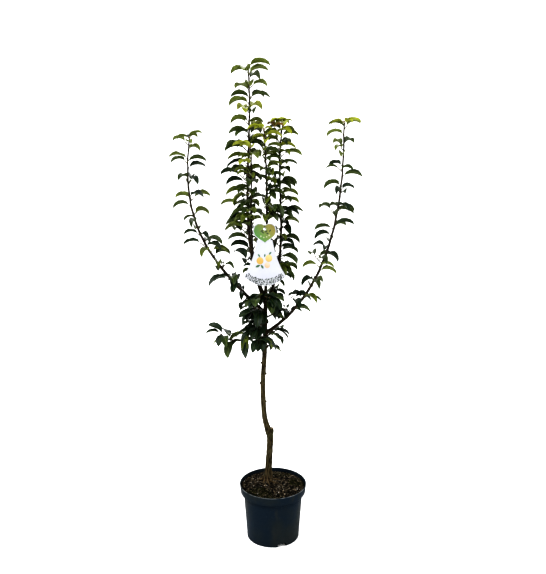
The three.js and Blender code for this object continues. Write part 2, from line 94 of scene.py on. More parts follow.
for name, light in LIGHTS.items():
    lamp_data = bpy.data.lights.new(name, "AREA")
    lamp_data.shape = "DISK"
    lamp_data.size = light["size"]
    lamp_data.energy = light["power"]
    lamp = bpy.data.objects.new(name, lamp_data)
    lamp.location = light["at"]
    toward_tree = AIM - lamp.location
    lamp.rotation_euler = toward_tree.to_track_quat("-Z", "Y").to_euler()
    bpy.context.scene.collection.objects.link(lamp)
print("lights:", ", ".join(LIGHTS))

# %% [markdown]
# Shader nodes are added one by one in the editor. Here one helper adds a node, sets its
# fields, and either sets a socket's value or links another node's output to it.

# %% Helpers for materials


def add_node(tree, kind, sockets=None, **fields):
    made = tree.nodes.new(kind)
    for field, value in fields.items():
        setattr(made, field, value)
    for socket, value in (sockets or {}).items():
        if isinstance(value, bpy.types.NodeSocket):
            tree.links.new(value, made.inputs[socket])
        else:
            made.inputs[socket].default_value = value
    return made


def new_material(name, roughness, gloss=0.5):
    material = bpy.data.materials.new(name)
    material.use_nodes = True
    tree = material.node_tree
    shader = tree.nodes["Principled BSDF"]
    shader.inputs["Roughness"].default_value = roughness
    shader.inputs["Specular IOR Level"].default_value = gloss
    here = add_node(tree, "ShaderNodeTexCoord").outputs["Object"]
    return material, tree, shader, here


def rgb(*parts):
    return (*parts, 1)


print("helpers for materials are ready")

# %% [markdown]
# Bark, soil, leaves and plastic all vary in patches. The real reason differs, such as age,
# damp or dust, but the picture is the same: soft patches with finer ones in them. One node
# group gives that mask, and each material sets its own scale and edge.

# %% Patches


def make_group(name, inputs, outputs):
    group = bpy.data.node_groups.new(name, "ShaderNodeTree")
    for socket, (kind, value) in inputs.items():
        made = group.interface.new_socket(socket, in_out="INPUT", socket_type=kind)
        if value is not None:
            made.default_value = value
    for socket, kind in outputs.items():
        group.interface.new_socket(socket, in_out="OUTPUT", socket_type=kind)
    start = group.nodes.new("NodeGroupInput").outputs
    end = group.nodes.new("NodeGroupOutput").inputs
    return group, start, end


patches, start, end = make_group(
    "patches",
    {
        "Position": ("NodeSocketVector", None),
        "Scale": ("NodeSocketFloat", 20.0),
        "Detail": ("NodeSocketFloat", 4.0),
        "Low": ("NodeSocketFloat", 0.4),
        "High": ("NodeSocketFloat", 0.6),
    },
    {"Mask": "NodeSocketFloat"},
)
cloud = add_node(
    patches,
    "ShaderNodeTexNoise",
    {"Vector": start["Position"], "Scale": start["Scale"], "Detail": start["Detail"]},
)
edge = add_node(
    patches,
    "ShaderNodeMapRange",
    {"Value": cloud.outputs["Fac"], "From Min": start["Low"], "From Max": start["High"]},
    interpolation_type="SMOOTHSTEP",
)
patches.links.new(edge.outputs["Result"], end["Mask"])
print("node group:", patches.name)

# %% [markdown]
# Every matte surface also has relief too fine to model: the grain of plastic, the pores of
# bark. A second group turns noise into a bent normal, and gives it to the shader.

# %% Grain
grain, start, end = make_group(
    "grain",
    {
        "Position": ("NodeSocketVector", None),
        "Scale": ("NodeSocketFloat", 600.0),
        "Depth": ("NodeSocketFloat", 0.0002),
    },
    {"Normal": "NodeSocketVector"},
)
pores = add_node(
    grain,
    "ShaderNodeTexNoise",
    {"Vector": start["Position"], "Scale": start["Scale"], "Detail": 3.0},
)
bump = add_node(grain, "ShaderNodeBump", {"Height": pores.outputs["Fac"], "Distance": start["Depth"]})
grain.links.new(bump.outputs["Normal"], end["Normal"])
print("node group:", grain.name)

# %% [markdown]
# A material places the two groups with its own values, and lets a mask choose between two
# colours. Streaks are patches on stretched coordinates, and dirt or wear near an edge is a
# mask that fades with height.

# %% Helpers for surfaces


def patch_mask(tree, position, **values):
    sockets = {"Position": position, **{key.title(): value for key, value in values.items()}}
    return add_node(tree, "ShaderNodeGroup", sockets, node_tree=patches).outputs["Mask"]


def grain_normal(tree, position, scale, depth):
    sockets = {"Position": position, "Scale": scale, "Depth": depth}
    return add_node(tree, "ShaderNodeGroup", sockets, node_tree=grain).outputs["Normal"]


def mix_colors(tree, mask, low, high):
    return add_node(tree, "ShaderNodeMix", {0: mask, 6: low, 7: high}, data_type="RGBA").outputs[2]


def stretched(tree, position, scale):
    return add_node(tree, "ShaderNodeMapping", {"Vector": position, "Scale": scale}).outputs["Vector"]


def multiplied(tree, one, other):
    return add_node(tree, "ShaderNodeMath", {0: one, 1: other}, operation="MULTIPLY").outputs["Value"]


def height_ramp(tree, position, low, high):
    height = add_node(tree, "ShaderNodeSeparateXYZ", {"Vector": position}).outputs["Z"]
    sockets = {"Value": height, "From Min": low, "From Max": high}
    return add_node(tree, "ShaderNodeMapRange", sockets).outputs["Result"]


print("helpers for surfaces are ready")

# %% [markdown]
# Pieces are modelled in millimetres and turned to metres at the end. A finished piece sits at
# the origin with its place in its mesh, rides on the tree's one body, and hides the solids
# it stands for. Parts of a piece are shaped one by one and added to it. Where a modifier or
# a curve object makes the shape, its result is taken as a plain mesh.

# %% Helpers for pieces


def in_scene(name, data):
    thing = bpy.data.objects.new(name, data)
    bpy.context.scene.collection.objects.link(thing)
    return thing


def finish_piece(name, mesh, materials, nodes=(), smooth=None):
    for material in materials:
        mesh.materials.append(material)
    if smooth is not None:
        mesh.polygons.foreach_set("use_smooth", [True] * len(mesh.polygons))
        mesh.set_sharp_from_angle(angle=math.radians(smooth))
    piece = in_scene(name, mesh)
    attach(piece, "root")
    if nodes:
        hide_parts(*nodes)
    triangles = sum(len(face.vertices) - 2 for face in mesh.polygons)
    print(f"{name}: {triangles} triangles")
    return piece


def mesh_of(name, bm):
    bmesh.ops.scale(bm, vec=(MM, MM, MM), verts=bm.verts)
    mesh = bpy.data.meshes.new(name)
    bm.to_mesh(mesh)
    bm.free()
    return mesh


def add_part(whole, part):
    mesh = bpy.data.meshes.new("part")
    part.to_mesh(mesh)
    part.free()
    whole.from_mesh(mesh)
    bpy.data.meshes.remove(mesh)


def plain_mesh(thing):
    bpy.context.view_layer.update()
    graph = bpy.context.evaluated_depsgraph_get()
    mesh = bpy.data.meshes.new_from_object(thing.evaluated_get(graph))
    bpy.data.objects.remove(thing)
    return mesh


print("helpers for pieces are ready")

# %% [markdown]
# Many small things, such as leaves and crumbs, are copies of one small template. Each copy
# is only a new list of corners for the same faces, so the copies are joined as arrays.

# %% Joined copies


def faces_of(bm):
    bm.verts.index_update()
    return [[corner.index for corner in face.verts] for face in bm.faces]


def corners_of(bm):
    return np.array([corner.co[:] for corner in bm.verts])


def joined(name, faces, copies, kinds=None):
    count = len(copies[0])
    corners = np.concatenate(copies) * MM
    every = [[i + count * k for i in face] for k in range(len(copies)) for face in faces]
    mesh = bpy.data.meshes.new(name)
    mesh.from_pydata(corners.tolist(), [], every)
    if kinds is not None:
        mesh.polygons.foreach_set("material_index", list(kinds) * len(copies))
    mesh.update()
    return mesh


print("helpers for copies are ready")

# %% [markdown]
# The growth rule starts here. It is the rule that shaped the solids, so that each leaf here
# lies where its coarse leaf is. All its numbers are in millimetres and degrees.
# Random numbers come from a seed, and the same seed gives the same tree each time.

# %% Seeded numbers and directions
UP = np.array([0.0, 0.0, 1.0])
BACK = np.array([0.0, 1.0, 0.0])
NEARLY_BACK = 0.8


def seeded(seed):
    state = [seed]

    def draw():
        state[0] = (state[0] * 16807) % 2147483647
        return state[0] / 2147483647

    return draw


def heading(turn, rise):
    level = math.cos(rise)
    return np.array([math.cos(turn) * level, math.sin(turn) * level, math.sin(rise)])


def mix(low, high, share):
    return low + (high - low) * share


def unit(vector):
    return vector / np.linalg.norm(vector)


def reference_for(way):
    return UP if abs(way[1]) > NEARLY_BACK else BACK


print("the first draw of seed 1 is", round(seeded(1)(), 6))

# %% [markdown]
# Every limb follows a curve: a straight line, a Bezier curve with two handles, or a smooth
# curve through given points. Stations are spaced evenly along it, so the rings of a tube lie
# at even steps too.

# %% Curves


def line_curve(start, end):
    return lambda t: mix(start, end, t)


def bezier_curve(a, b, c, d):
    return lambda t: (1 - t) ** 3 * a + 3 * t * (1 - t) ** 2 * b + 3 * t * t * (1 - t) * c + t**3 * d


def smooth_curve(points, closed=False):
    points = [np.array(point, float) for point in points]
    if closed:
        points = [points[-1], *points, points[0], points[1]]
    else:
        points = [2 * points[0] - points[1], *points, 2 * points[-1] - points[-2]]
    spans = len(points) - 3

    def at(t):
        low = min(int(spans * t), spans - 1)
        part = spans * t - low
        a, b, c, d = points[low : low + 4]
        bend = 2 * b - 2 * c + (c - a) / 2 + (d - b) / 2
        rise = 3 * (c - b) - (c - a) - (d - b) / 2
        return b + part * ((c - a) / 2 + part * (rise + part * bend))

    return at


def spaced(curve, steps, samples=200):
    shares = np.linspace(0, 1, samples + 1)
    line = np.array([curve(t) for t in shares])
    lengths = np.concatenate([[0], np.cumsum(np.linalg.norm(np.diff(line, axis=0), axis=1))])
    targets = np.linspace(0, lengths[-1], steps + 1)
    return np.array([curve(t) for t in np.interp(targets, lengths, shares)])


print("kinds of curve: line, bezier and smooth")

# %% [markdown]
# The trunk is a grafted one. It stands straight up to the graft union, leans to the left
# above it and comes back to the fork. Its axis is a smooth curve through a few bends, and
# its radius is read from a short table by height.

# %% Trunk
SOIL_TOP = 190
GAP = 0.3
TRUNK_BENDS = [
    (-18, 35, SOIL_TOP + GAP),
    (-14, 35, 262),
    (-10, 33, 345),
    (-17, 31, 380),
    (-29, 28, 432),
    (-34, 22, 545),
    (-28, 17, 660),
    (-25, 9, 800),
    (-24, 3, 861),
]
TRUNK_RADII = [
    (190, 16.5),
    (206, 13),
    (240, 10.8),
    (330, 9.8),
    (362, 11.2),
    (392, 9.2),
    (432, 7.8),
    (560, 7.4),
    (760, 6.6),
    (862, 5.6),
]


def trunk_radius(height):
    heights, radii = zip(*TRUNK_RADII)
    return float(np.interp(height, heights, radii))


TRUNK_STEPS = 26
trunk_curve = smooth_curve(TRUNK_BENDS)
trunk_points = spaced(trunk_curve, TRUNK_STEPS)
trunk = {"at": trunk_points, "radius": np.array([trunk_radius(z) for z in trunk_points[:, 2]])}
print("trunk from", round(trunk_points[0, 2], 1), "to", round(trunk_points[-1, 2], 1), "mm")

# %% [markdown]
# Seven limbs leave the trunk. Each is one curve from its height on the trunk through two
# handles to its tip. The first share of it is bare wood, and the rest is the stem that bears
# leaves. A limb says at how many places it bears them, at what turn round the stem the first
# one stands, and how long its blades are at the foot and at the tip.

# %% Limbs
LIMBS = {
    "left_bough": {
        "height": 799,
        "handles": [(-220, 31, 978), (-296, 40, 1096)],
        "tip": (-264, 60, 1357),
        "radii": (5.0, 1.5),
        "bare": 0.11,
        "places": 19,
        "turn": 60,
        "blade": (66, 54),
        "seed": 449,
    },
    "right_bough": {
        "height": 729,
        "handles": [(193, -5, 875), (223, -24, 1178)],
        "tip": (214, -45, 1413),
        "radii": (4.8, 1.4),
        "bare": 0.11,
        "places": 21,
        "turn": 20,
        "blade": (64, 52),
        "seed": 796,
    },
    "low_left_twig": {
        "height": 711,
        "handles": [(-79, -1, 724), (-126, -14, 692)],
        "tip": (-166, -30, 737),
        "radii": (2.6, 1.3),
        "bare": 0.3,
        "places": 10,
        "turn": 290,
        "ahead": 195,
        "tilt": -2,
        "fan": 48,
        "blade": (60, 54),
        "seed": 145,
    },
    "left_leader": {
        "height": 834,
        "handles": [(-124, 20, 1066), (-57, 32, 1326)],
        "tip": (-77, 45, 1582),
        "radii": (4.6, 1.4),
        "bare": 0.09,
        "places": 36,
        "turn": 55,
        "blade": (66, 64),
        "seed": 227,
    },
    "side_leader": {
        "height": 852,
        "handles": [(-93, -6, 1005), (-58, -18, 1177)],
        "tip": (-69, -30, 1336),
        "radii": (3.2, 1.2),
        "bare": 0.14,
        "places": 16,
        "turn": 190,
        "blade": (60, 54),
        "seed": 957,
    },
    "middle_leader": {
        "height": 861,
        "handles": [(-21, -4, 1040), (-15, -12, 1214)],
        "tip": (-27, -20, 1390),
        "radii": (4.2, 1.3),
        "bare": 0.09,
        "places": 26,
        "turn": 200,
        "blade": (62, 50),
        "seed": 257,
    },
    "right_leader": {
        "height": 834,
        "handles": [(70, 18, 1008), (-4, 29, 1216)],
        "tip": (31, 42, 1404),
        "radii": (4.4, 1.3),
        "bare": 0.1,
        "places": 28,
        "turn": 50,
        "blade": (64, 54),
        "seed": 68,
        "fork": {"share": 0.8, "turn": 190, "rise": 80, "length": 96, "places": 4},
    },
}
print("limbs:", ", ".join(LIMBS))

# %% [markdown]
# Eleven short spurs on the trunk make the dark clump under the fork. A spur is a straight
# stem with a height on the trunk, a turn round it, a rise and a length.

# %% Spurs
SPURS = {
    "spur_left_high": {"height": 866, "turn": 244, "rise": 0, "length": 70, "places": 7, "seed": 645},
    "spur_right_high": {"height": 844, "turn": -78, "rise": 20, "length": 62, "places": 7, "seed": 827},
    "spur_front_high": {"height": 814, "turn": -120, "rise": 0, "length": 70, "places": 6, "seed": 685},
    "spur_back_high": {"height": 822, "turn": 68, "rise": 36, "length": 70, "places": 6, "seed": 950},
    "spur_left_middle": {"height": 752, "turn": 234, "rise": 0, "length": 70, "places": 8, "seed": 608},
    "spur_left_low": {"height": 784, "turn": 152, "rise": 34, "length": 70, "places": 6, "seed": 77},
    "spur_right_middle": {"height": 784, "turn": 18, "rise": 18, "length": 68, "places": 5, "seed": 32},
    "spur_back_low": {"height": 750, "turn": 128, "rise": 0, "length": 52, "places": 6, "seed": 575},
    "spur_front_low": {"height": 722, "turn": -110, "rise": 0, "length": 68, "places": 6, "seed": 570},
    "spur_right_low": {"height": 670, "turn": 14, "rise": 48, "length": 26, "places": 3, "seed": 940},
    "spur_right_out": {"height": 716, "turn": 52, "rise": 6, "length": 50, "places": 5, "seed": 457},
}
SPUR = {"radii": (2.4, 1.2), "blade": (58, 50), "tilt": -5}
print("spurs:", len(SPURS))

# %% [markdown]
# A limb's bare wood and its leafy stem share one curve. The stem starts a hair's breadth past
# the wood, as its solid does, so that the leaves keep the places they have on the solids.

# %% Stems
STEM_STEPS = 18
SPUR_STEPS = 4


def at_height(stations, height):
    points = stations["at"]
    return np.array([np.interp(height, points[:, 2], points[:, axis]) for axis in range(3)])


def point_along(points, share):
    at = share * (len(points) - 1)
    low = min(int(at), len(points) - 2)
    return mix(points[low], points[low + 1], at - low)


masses = []
for name, limb in LIMBS.items():
    first, second, tip = (np.array(xyz, float) for xyz in (*limb["handles"], limb["tip"]))
    curve = bezier_curve(at_height(trunk, limb["height"]), first, second, tip)
    points = spaced(curve, STEM_STEPS)
    radii = np.linspace(*limb["radii"], STEM_STEPS + 1)
    split = round(limb["bare"] * STEM_STEPS)
    stem = points[split:].copy()
    stem[0] += GAP * unit(points[split + 1] - points[split - 1])
    bough = {"at": points[: split + 1], "radius": radii[: split + 1]}
    mass = {"name": name, "long": True, "curve": curve, "split": split / STEM_STEPS, "bough": bough}
    masses.append({**mass, **limb, "stem": {"at": stem, "radius": radii[split:]}})
for name, spur in SPURS.items():
    root = at_height(trunk, spur["height"])
    reach = heading(math.radians(spur["turn"]), math.radians(spur["rise"])) * spur["length"]
    curve = line_curve(root, root + reach)
    stem = {"at": spaced(curve, SPUR_STEPS), "radius": np.linspace(*SPUR["radii"], SPUR_STEPS + 1)}
    mass = {"name": name, "long": False, "curve": curve, "split": 0, "stem": stem, "ahead": spur["turn"]}
    masses.append({**mass, **SPUR, **spur})
print("stems that bear leaves:", len(masses))

# %% [markdown]
# Each mass of leaves keeps to the space nearest its own stem, clear of the bare wood, of the
# card and of the tie. Distances to bark are measured to short straight pieces of every limb
# at once, which NumPy does fast.

# %% Room for leaves
CLEAR = {"neighbour": 3, "wood": 7, "leaf": 19, "card": 6}
CARD = {"x": -26, "back": -35, "thickness": 0.9, "notch": 1097, "hole": 1086, "hole_radius": 3.5}
HEART = {"half_width": 37, "lobe": 1108, "widest": 1080, "waist": 1058, "chin": 1051, "point": 1041}
BELL = {"top": 1051, "neck": 24, "shoulder": (34, 1000), "flare": (46, 965), "hem": (68, 934), "foot": 903}
TIE = {"height": 1106, "tilt": 3, "radius": 0.8, "rise": 4, "bulge": 4, "reach": 9, "aside": 3}
FAR = 1000

half_card = BELL["hem"][0] + CLEAR["card"]
KEPT_SPACES = [
    (
        (CARD["x"] - half_card, -FAR, BELL["foot"] - CLEAR["card"]),
        (CARD["x"] + half_card, CARD["back"] + CLEAR["card"], HEART["lobe"] + CLEAR["card"]),
    ),
    (
        (CARD["x"] - 2 * CLEAR["card"], CARD["back"], CARD["hole"] - 2 * CLEAR["card"]),
        (CARD["x"] + 3 * CLEAR["card"], CLEAR["card"], TIE["height"] + CLEAR["card"]),
    ),
]


def straight_pieces(groups):
    starts = np.concatenate([group["at"][:-1] for group in groups])
    spans = np.concatenate([np.diff(group["at"], axis=0) for group in groups])
    radii = np.concatenate([group["radius"][:-1] for group in groups])
    firsts = np.cumsum([0] + [len(group["at"]) - 1 for group in groups[:-1]])
    return starts, spans, radii, (spans**2).sum(1), firsts


def distances(points, pieces):
    starts, spans, radii, squares, firsts = pieces
    away = points[:, None] - starts
    share = np.clip((away * spans).sum(2) / squares, 0, 1)
    gaps = np.linalg.norm(away - share[..., None] * spans, axis=2) - radii
    return np.minimum.reduceat(gaps, firsts, axis=1)


wood_pieces = straight_pieces([trunk] + [mass["bough"] for mass in masses if mass["long"]])
stem_pieces = straight_pieces([mass["stem"] for mass in masses])


def fits(points, own):
    points = np.array(points)
    for low, high in KEPT_SPACES:
        if np.any(np.all((points >= low) & (points <= high), axis=1)):
            return False
    if distances(points, wood_pieces).min() < CLEAR["wood"]:
        return False
    gaps = distances(points, stem_pieces)
    least = np.maximum(gaps[:, own] + CLEAR["neighbour"], CLEAR["wood"])
    others = np.delete(gaps, own, axis=1)
    return bool(np.all(others > least[:, None]))


print("pieces of stem to keep clear of:", len(stem_pieces[0]))

# %% [markdown]
# A leaf leaves its stem at a turn round it, rises on its petiole, and arches over from its
# lift to its droop. Lift, droop and petiole are given for the foot of the stem and for its
# tip. Leaves stand about 142 degrees apart round the stem, as a pear's do.

# %% Leaf settings
LEAF = {
    "last_place": 0.99,
    "turn_step": 142,
    "turn_jitter": 26,
    "lift": (34, 52),
    "lift_jitter": 16,
    "droop": (-48, -36),
    "droop_jitter": 22,
    "petiole": (15, 10),
    "size_jitter": 0.2,
    "half_width": 0.28,
    "outline": (0.92, 0.84),
    "rise": 1.4,
    "keel": 0.6,
}
TWIG = {"every": 5, "first": 1, "last": 0.62, "rise": 40, "length": (34, 20), "radii": (1.7, 1.1)}
TWIG_LEAVES = [(0.5, 130), (0.74, -130), (0.95, 0)]
SHRINKS = (1, 0.84)
TILTS = (0, -28, 22)
TURNS_ASIDE = (0, 24, -24, 48, -48, 74, -74, 102, -102)
SWEEP = 0.55
print("degrees from leaf to leaf:", LEAF["turn_step"])

# %% [markdown]
# On a level twig the leaves lie forward along it, toward the light, and on the low one they
# also fan up and down. A leaf's outline is a few points on its arch: pairs at its edges, two
# on its keel and one at its tip. They tell where the leaf would touch something.

# %% Leaf outline


def swept(mass, turn):
    if "ahead" not in mass:
        return turn, 0
    ahead = math.radians(mass["ahead"])
    aside = math.atan2(math.sin(turn - ahead), math.cos(turn - ahead))
    return ahead + SWEEP * aside, -mass.get("fan", 0) * math.sin(aside)


def toward(turn, angle):
    return heading(turn, 0) * math.cos(angle) + UP * math.sin(angle)


def leaf_outline(leaf):
    turn, lift, droop, length = (leaf[key] for key in ("turn", "lift", "droop", "length"))
    across = np.array([-math.sin(turn), math.cos(turn), 0.0])
    at = leaf["root"] + toward(turn, lift) * leaf["petiole"]
    points = []
    keels = []
    for i, share in enumerate(LEAF["outline"]):
        at = at + toward(turn, mix(lift, droop, i / 2)) * (length / 3)
        over = toward(turn, mix(lift, droop, (i + 0.5) / 2) + math.pi / 2)
        half = LEAF["half_width"] * length * share
        keels.append(at - over * LEAF["keel"])
        points += [at + over * LEAF["rise"] + across * half, at + over * LEAF["rise"] - across * half]
    tip = at + toward(turn, droop) * (length / 3)
    return points + keels + [tip], (keels[0] + keels[1]) / 2


print("outline points of a leaf:", 3 * len(LEAF["outline"]) + 1)

# %% [markdown]
# Where a leaf doesn't fit it tilts, turns aside or shrinks, and at last it is left out. A twig
# turns aside in the same way.

# %% Growing a leaf
leaf_middles = []


def crowded(point, least=CLEAR["leaf"]):
    return bool(leaf_middles) and np.linalg.norm(np.array(leaf_middles) - point, axis=1).min() < least


def grow_leaf(own, root, turn, share, draw, size=1.0, least=CLEAR["leaf"], raised=0):
    mass = masses[own]
    turn, fanned = swept(mass, turn)
    hang = mass.get("tilt", 0) + fanned + raised
    lift = math.radians(mix(*LEAF["lift"], share) + hang + LEAF["lift_jitter"] * (draw() - 0.5))
    droop = math.radians(mix(*LEAF["droop"], share) + hang + LEAF["droop_jitter"] * (draw() - 0.5))
    length = mix(*mass["blade"], share) * (1 + LEAF["size_jitter"] * (draw() - 0.5)) * size
    for shrink in SHRINKS:
        for tilt in map(math.radians, TILTS):
            for aside in map(math.radians, TURNS_ASIDE):
                leaf = {
                    "root": root,
                    "turn": turn + aside,
                    "lift": lift + tilt,
                    "droop": droop + tilt,
                    "petiole": mix(*LEAF["petiole"], share) * size,
                    "length": length * shrink,
                    "share": share,
                    "mass": mass["name"],
                }
                points, middle = leaf_outline(leaf)
                if not crowded(middle, least) and fits(points, own):
                    leaf_middles.append(middle)
                    return leaf
    return None


def grow_twig(own, root, turn, share):
    length = mix(*TWIG["length"], share)
    for aside in TURNS_ASIDE:
        facing = turn + math.radians(aside)
        tip = root + heading(facing, math.radians(TWIG["rise"])) * length
        if not crowded(tip) and fits([(root + tip) / 2, tip], own):
            return {"root": root, "tip": tip, "facing": facing, "radii": TWIG["radii"]}
    return None


print("most tries for a leaf:", len(SHRINKS) * len(TILTS) * len(TURNS_ASIDE))

# %% [markdown]
# A mass grows from the foot of its stem to its tip. Every fifth place low on a long stem
# bears a short side twig with three leaves in place of a single leaf.

# %% Growing masses
twigs = []
leaves = []
sprays = 0


def add_leaf(spray, *args, **settings):
    leaf = grow_leaf(*args, **settings)
    if leaf:
        leaf["spray"] = spray
        leaves.append(leaf)


for own, mass in enumerate(masses):
    draw = seeded(mass["seed"])
    stem = mass["stem"]["at"]
    for place in range(mass["places"]):
        sprays += 1
        share = (place + 1) / mass["places"]
        root = point_along(stem, share * LEAF["last_place"])
        jitter = LEAF["turn_jitter"] * (draw() - 0.5)
        turn = math.radians(mass["turn"] + place * LEAF["turn_step"] + jitter)
        bears = mass["long"] and place % TWIG["every"] == TWIG["first"] and share < TWIG["last"]
        twig = grow_twig(own, root, turn, share) if bears else None
        if twig:
            twigs.append(twig)
            for part, aside in TWIG_LEAVES:
                facing = twig["facing"] + math.radians(aside)
                add_leaf(sprays, own, mix(root, twig["tip"], part), facing, share, draw)
        else:
            add_leaf(sprays, own, root, turn, share, draw)
    fork = mass.get("fork")
    if fork:
        root = point_along(stem, fork["share"])
        tip = root + heading(math.radians(fork["turn"]), math.radians(fork["rise"])) * fork["length"]
        twigs.append({"root": root, "tip": tip, "radii": TWIG["radii"]})
        mass["fork_tip"] = tip
        for place in range(1, fork["places"] + 1):
            sprays += 1
            facing = math.radians(fork["turn"] + place * LEAF["turn_step"])
            at = mix(root, tip, place / fork["places"] * LEAF["last_place"])
            add_leaf(sprays, own, at, facing, 1, draw)
print("side twigs:", len(twigs), "leaves:", len(leaves))

# %% [markdown]
# The solids stop at side twigs. A real pear also bears leaves on very short spurs between
# them, so the rule is carried one step finer. More places lie half a step past the first
# ones, and every second of them bears a tiny twig with up to two smaller leaves, which may
# stand closer together. The low twig has few of them. Most limbs end in a tuft of small
# leaves, the youngest of all.

# %% Finer twigs
FINE = {"offset": 0.5, "size": (0.7, 1.0), "least": 14, "every": 2, "length": 12, "radii": (1.2, 0.9)}
SPARSE = {"low_left_twig": 9}
FINE_LEAVES = [(0.7, 120), (0.98, -20)]
TUFT = {"count": 3, "size": (0.5, 0.8), "least": 6, "raised": (-10, 12), "turn_step": 142}
TUFTED = ("left_bough", "right_bough", "side_leader", "middle_leader", "right_leader")


def grow_tuft(spray, own, root, turn, draw):
    for k in range(TUFT["count"]):
        facing = turn + math.radians(k * TUFT["turn_step"])
        size = mix(*TUFT["size"], draw())
        raised = mix(*TUFT["raised"], draw())
        add_leaf(spray, own, root, facing, 1, draw, size=size, least=TUFT["least"], raised=raised)


coarse_leaves = len(leaves)
for own, mass in enumerate(masses):
    draw = seeded(mass["seed"] + 1)
    stem = mass["stem"]["at"]
    every = SPARSE.get(mass["name"], FINE["every"])
    for place in range(mass["places"]):
        sprays += 1
        share = (place + FINE["offset"]) / mass["places"]
        root = point_along(stem, share * LEAF["last_place"])
        turn = math.radians(mass["turn"] + (place + FINE["offset"]) * LEAF["turn_step"])
        size = mix(*FINE["size"], draw())
        if place % every:
            continue
        tip = root + heading(turn, math.radians(TWIG["rise"])) * FINE["length"]
        if not fits([tip], own):
            continue
        before = len(leaves)
        for part, aside in FINE_LEAVES:
            facing = turn + math.radians(aside)
            at = mix(root, tip, part)
            add_leaf(sprays, own, at, facing, share, draw, size=size, least=FINE["least"])
        if len(leaves) > before:
            twigs.append({"root": root, "tip": tip, "radii": FINE["radii"]})
    if mass["name"] in TUFTED:
        sprays += 1
        grow_tuft(sprays, own, stem[-1], math.radians(mass["turn"]), draw)
    if mass.get("fork"):
        sprays += 1
        blush_spray = sprays
        grow_tuft(sprays, own, mass["fork_tip"], math.radians(mass["fork"]["turn"]), draw)
print("finer leaves:", len(leaves) - coarse_leaves, "twigs in all:", len(twigs))

# %% [markdown]
# A leaf's mesh starts as a ring of eight corners, drawn out ring by ring. The first rings are
# the round petiole. The next ones flatten into the blade: six corners lie along the upper
# side and two under its middle, which make the rib. A leaf is copied hundreds of times, so
# it has only a few dozen faces.

# %% Leaf template
PETIOLE_RINGS = 2
BLADE_RINGS = 7
TOP_CORNERS = (-1, -0.54, -0.06, 0.06, 0.54, 1)
UNDER_CORNERS = (0.06, -0.06)
SIDES = len(TOP_CORNERS) + len(UNDER_CORNERS)
UPPER, UNDER, RIB = 0, 1, 2

bm = bmesh.new()
ring = bmesh.ops.create_circle(bm, segments=SIDES, radius=1)["verts"]
edges = list({edge for corner in ring for edge in corner.link_edges})
for step in range(PETIOLE_RINGS + BLADE_RINGS - 1):
    drawn = bmesh.ops.extrude_edge_only(bm, edges=edges)["geom"]
    edges = [item for item in drawn if isinstance(item, bmesh.types.BMEdge)]
    corners = [item for item in drawn if isinstance(item, bmesh.types.BMVert)]
    edges = [edge for edge in edges if edge.verts[0] in corners and edge.verts[1] in corners]
    bmesh.ops.translate(bm, vec=(0, 0, 1), verts=corners)
bmesh.ops.holes_fill(bm, edges=bm.edges, sides=SIDES)
bmesh.ops.recalc_face_normals(bm, faces=bm.faces)
template_corners = corners_of(bm)
leaf_faces = faces_of(bm)
bm.free()

turns = np.arctan2(template_corners[:, 1], template_corners[:, 0])
leaf_columns = np.floor(turns / (2 * math.pi / SIDES) + 0.25).astype(int) % SIDES
leaf_rings = np.round(template_corners[:, 2]).astype(int)
print("leaf template:", len(leaf_faces), "faces")

# %% [markdown]
# Each face of the template is told what it is: the glossy upper side, the paler underside,
# or the pale petiole and rib.

# %% Sides of a leaf


def face_kind(face):
    columns = {leaf_columns[i] for i in face}
    rings = [leaf_rings[i] for i in face]
    if max(rings) < PETIOLE_RINGS or len(face) > 4 or columns in ({2, 3}, {6, 7}):
        return RIB
    return UPPER if max(columns) < len(TOP_CORNERS) else UNDER


leaf_kinds = [face_kind(face) for face in leaf_faces]
print("upper, under and rib faces:", [leaf_kinds.count(kind) for kind in (UPPER, UNDER, RIB)])

# %% [markdown]
# A pear leaf is widest below its middle and ends in a fine point. Its side veins sink the
# upper side between soft pillows, so rings go up and down. Old leaves hang and roll more,
# and young ones are folded up along the rib.

# %% Leaf shape
BLADE = {"widest": 0.45, "round_foot": 0.58, "fine_tip": 0.8, "thickness": 0.45, "rib": 1.0, "groove": 0.25}
STALK = {"radius": 0.75, "per_length": 0.004, "foot": 1.5, "sag": 0.1, "in_blade": 0.8, "least": 0.15}
PILLOW = (0.35, 0.95)
WAVE = {"share": (0.3, 1.0), "height": 0.045, "turns": 9, "offset": 1.3}
CURL = (-0.35, 0.35)
FOLD = {"old": (8, 40), "young": (32, 56)}
ROLL = {"old": (5, 50), "young": (2, 32)}
ARCH = {"old": 0.6, "young": 0.8}
HANG = {"old": (-24, 22), "young": (-12, 4)}
FULL = {"old": 1.05, "young": 1.0}
EVEN_RINGS = 0.7
steps = np.arange(BLADE_RINGS) / (BLADE_RINGS - 1)
crowded_at_ends = 0.5 - 0.5 * np.cos(math.pi * steps)
ring_shares = EVEN_RINGS * steps + (1 - EVEN_RINGS) * crowded_at_ends


def half_width(share):
    widest = BLADE["widest"]
    if share < widest:
        return math.sin(math.pi / 2 * share / widest) ** BLADE["round_foot"]
    return math.cos(math.pi / 2 * (share - widest) / (1 - widest)) ** BLADE["fine_tip"]


def corner_angle(column):
    top = len(TOP_CORNERS) - 1
    if column <= top:
        return math.pi * (1 - column / top)
    return -math.pi * (column - top) / (len(UNDER_CORNERS) + 1)


print("leaf half widths:", [round(half_width(share), 2) for share in ring_shares])

# %% [markdown]
# A leaf takes its turn, lift and droop from the growth rule, and a fold, roll, curl and wave
# from its own seed. The template's corners are then placed ring by ring: round the petiole
# first, and across the blade after it.

# %% Leaf corners


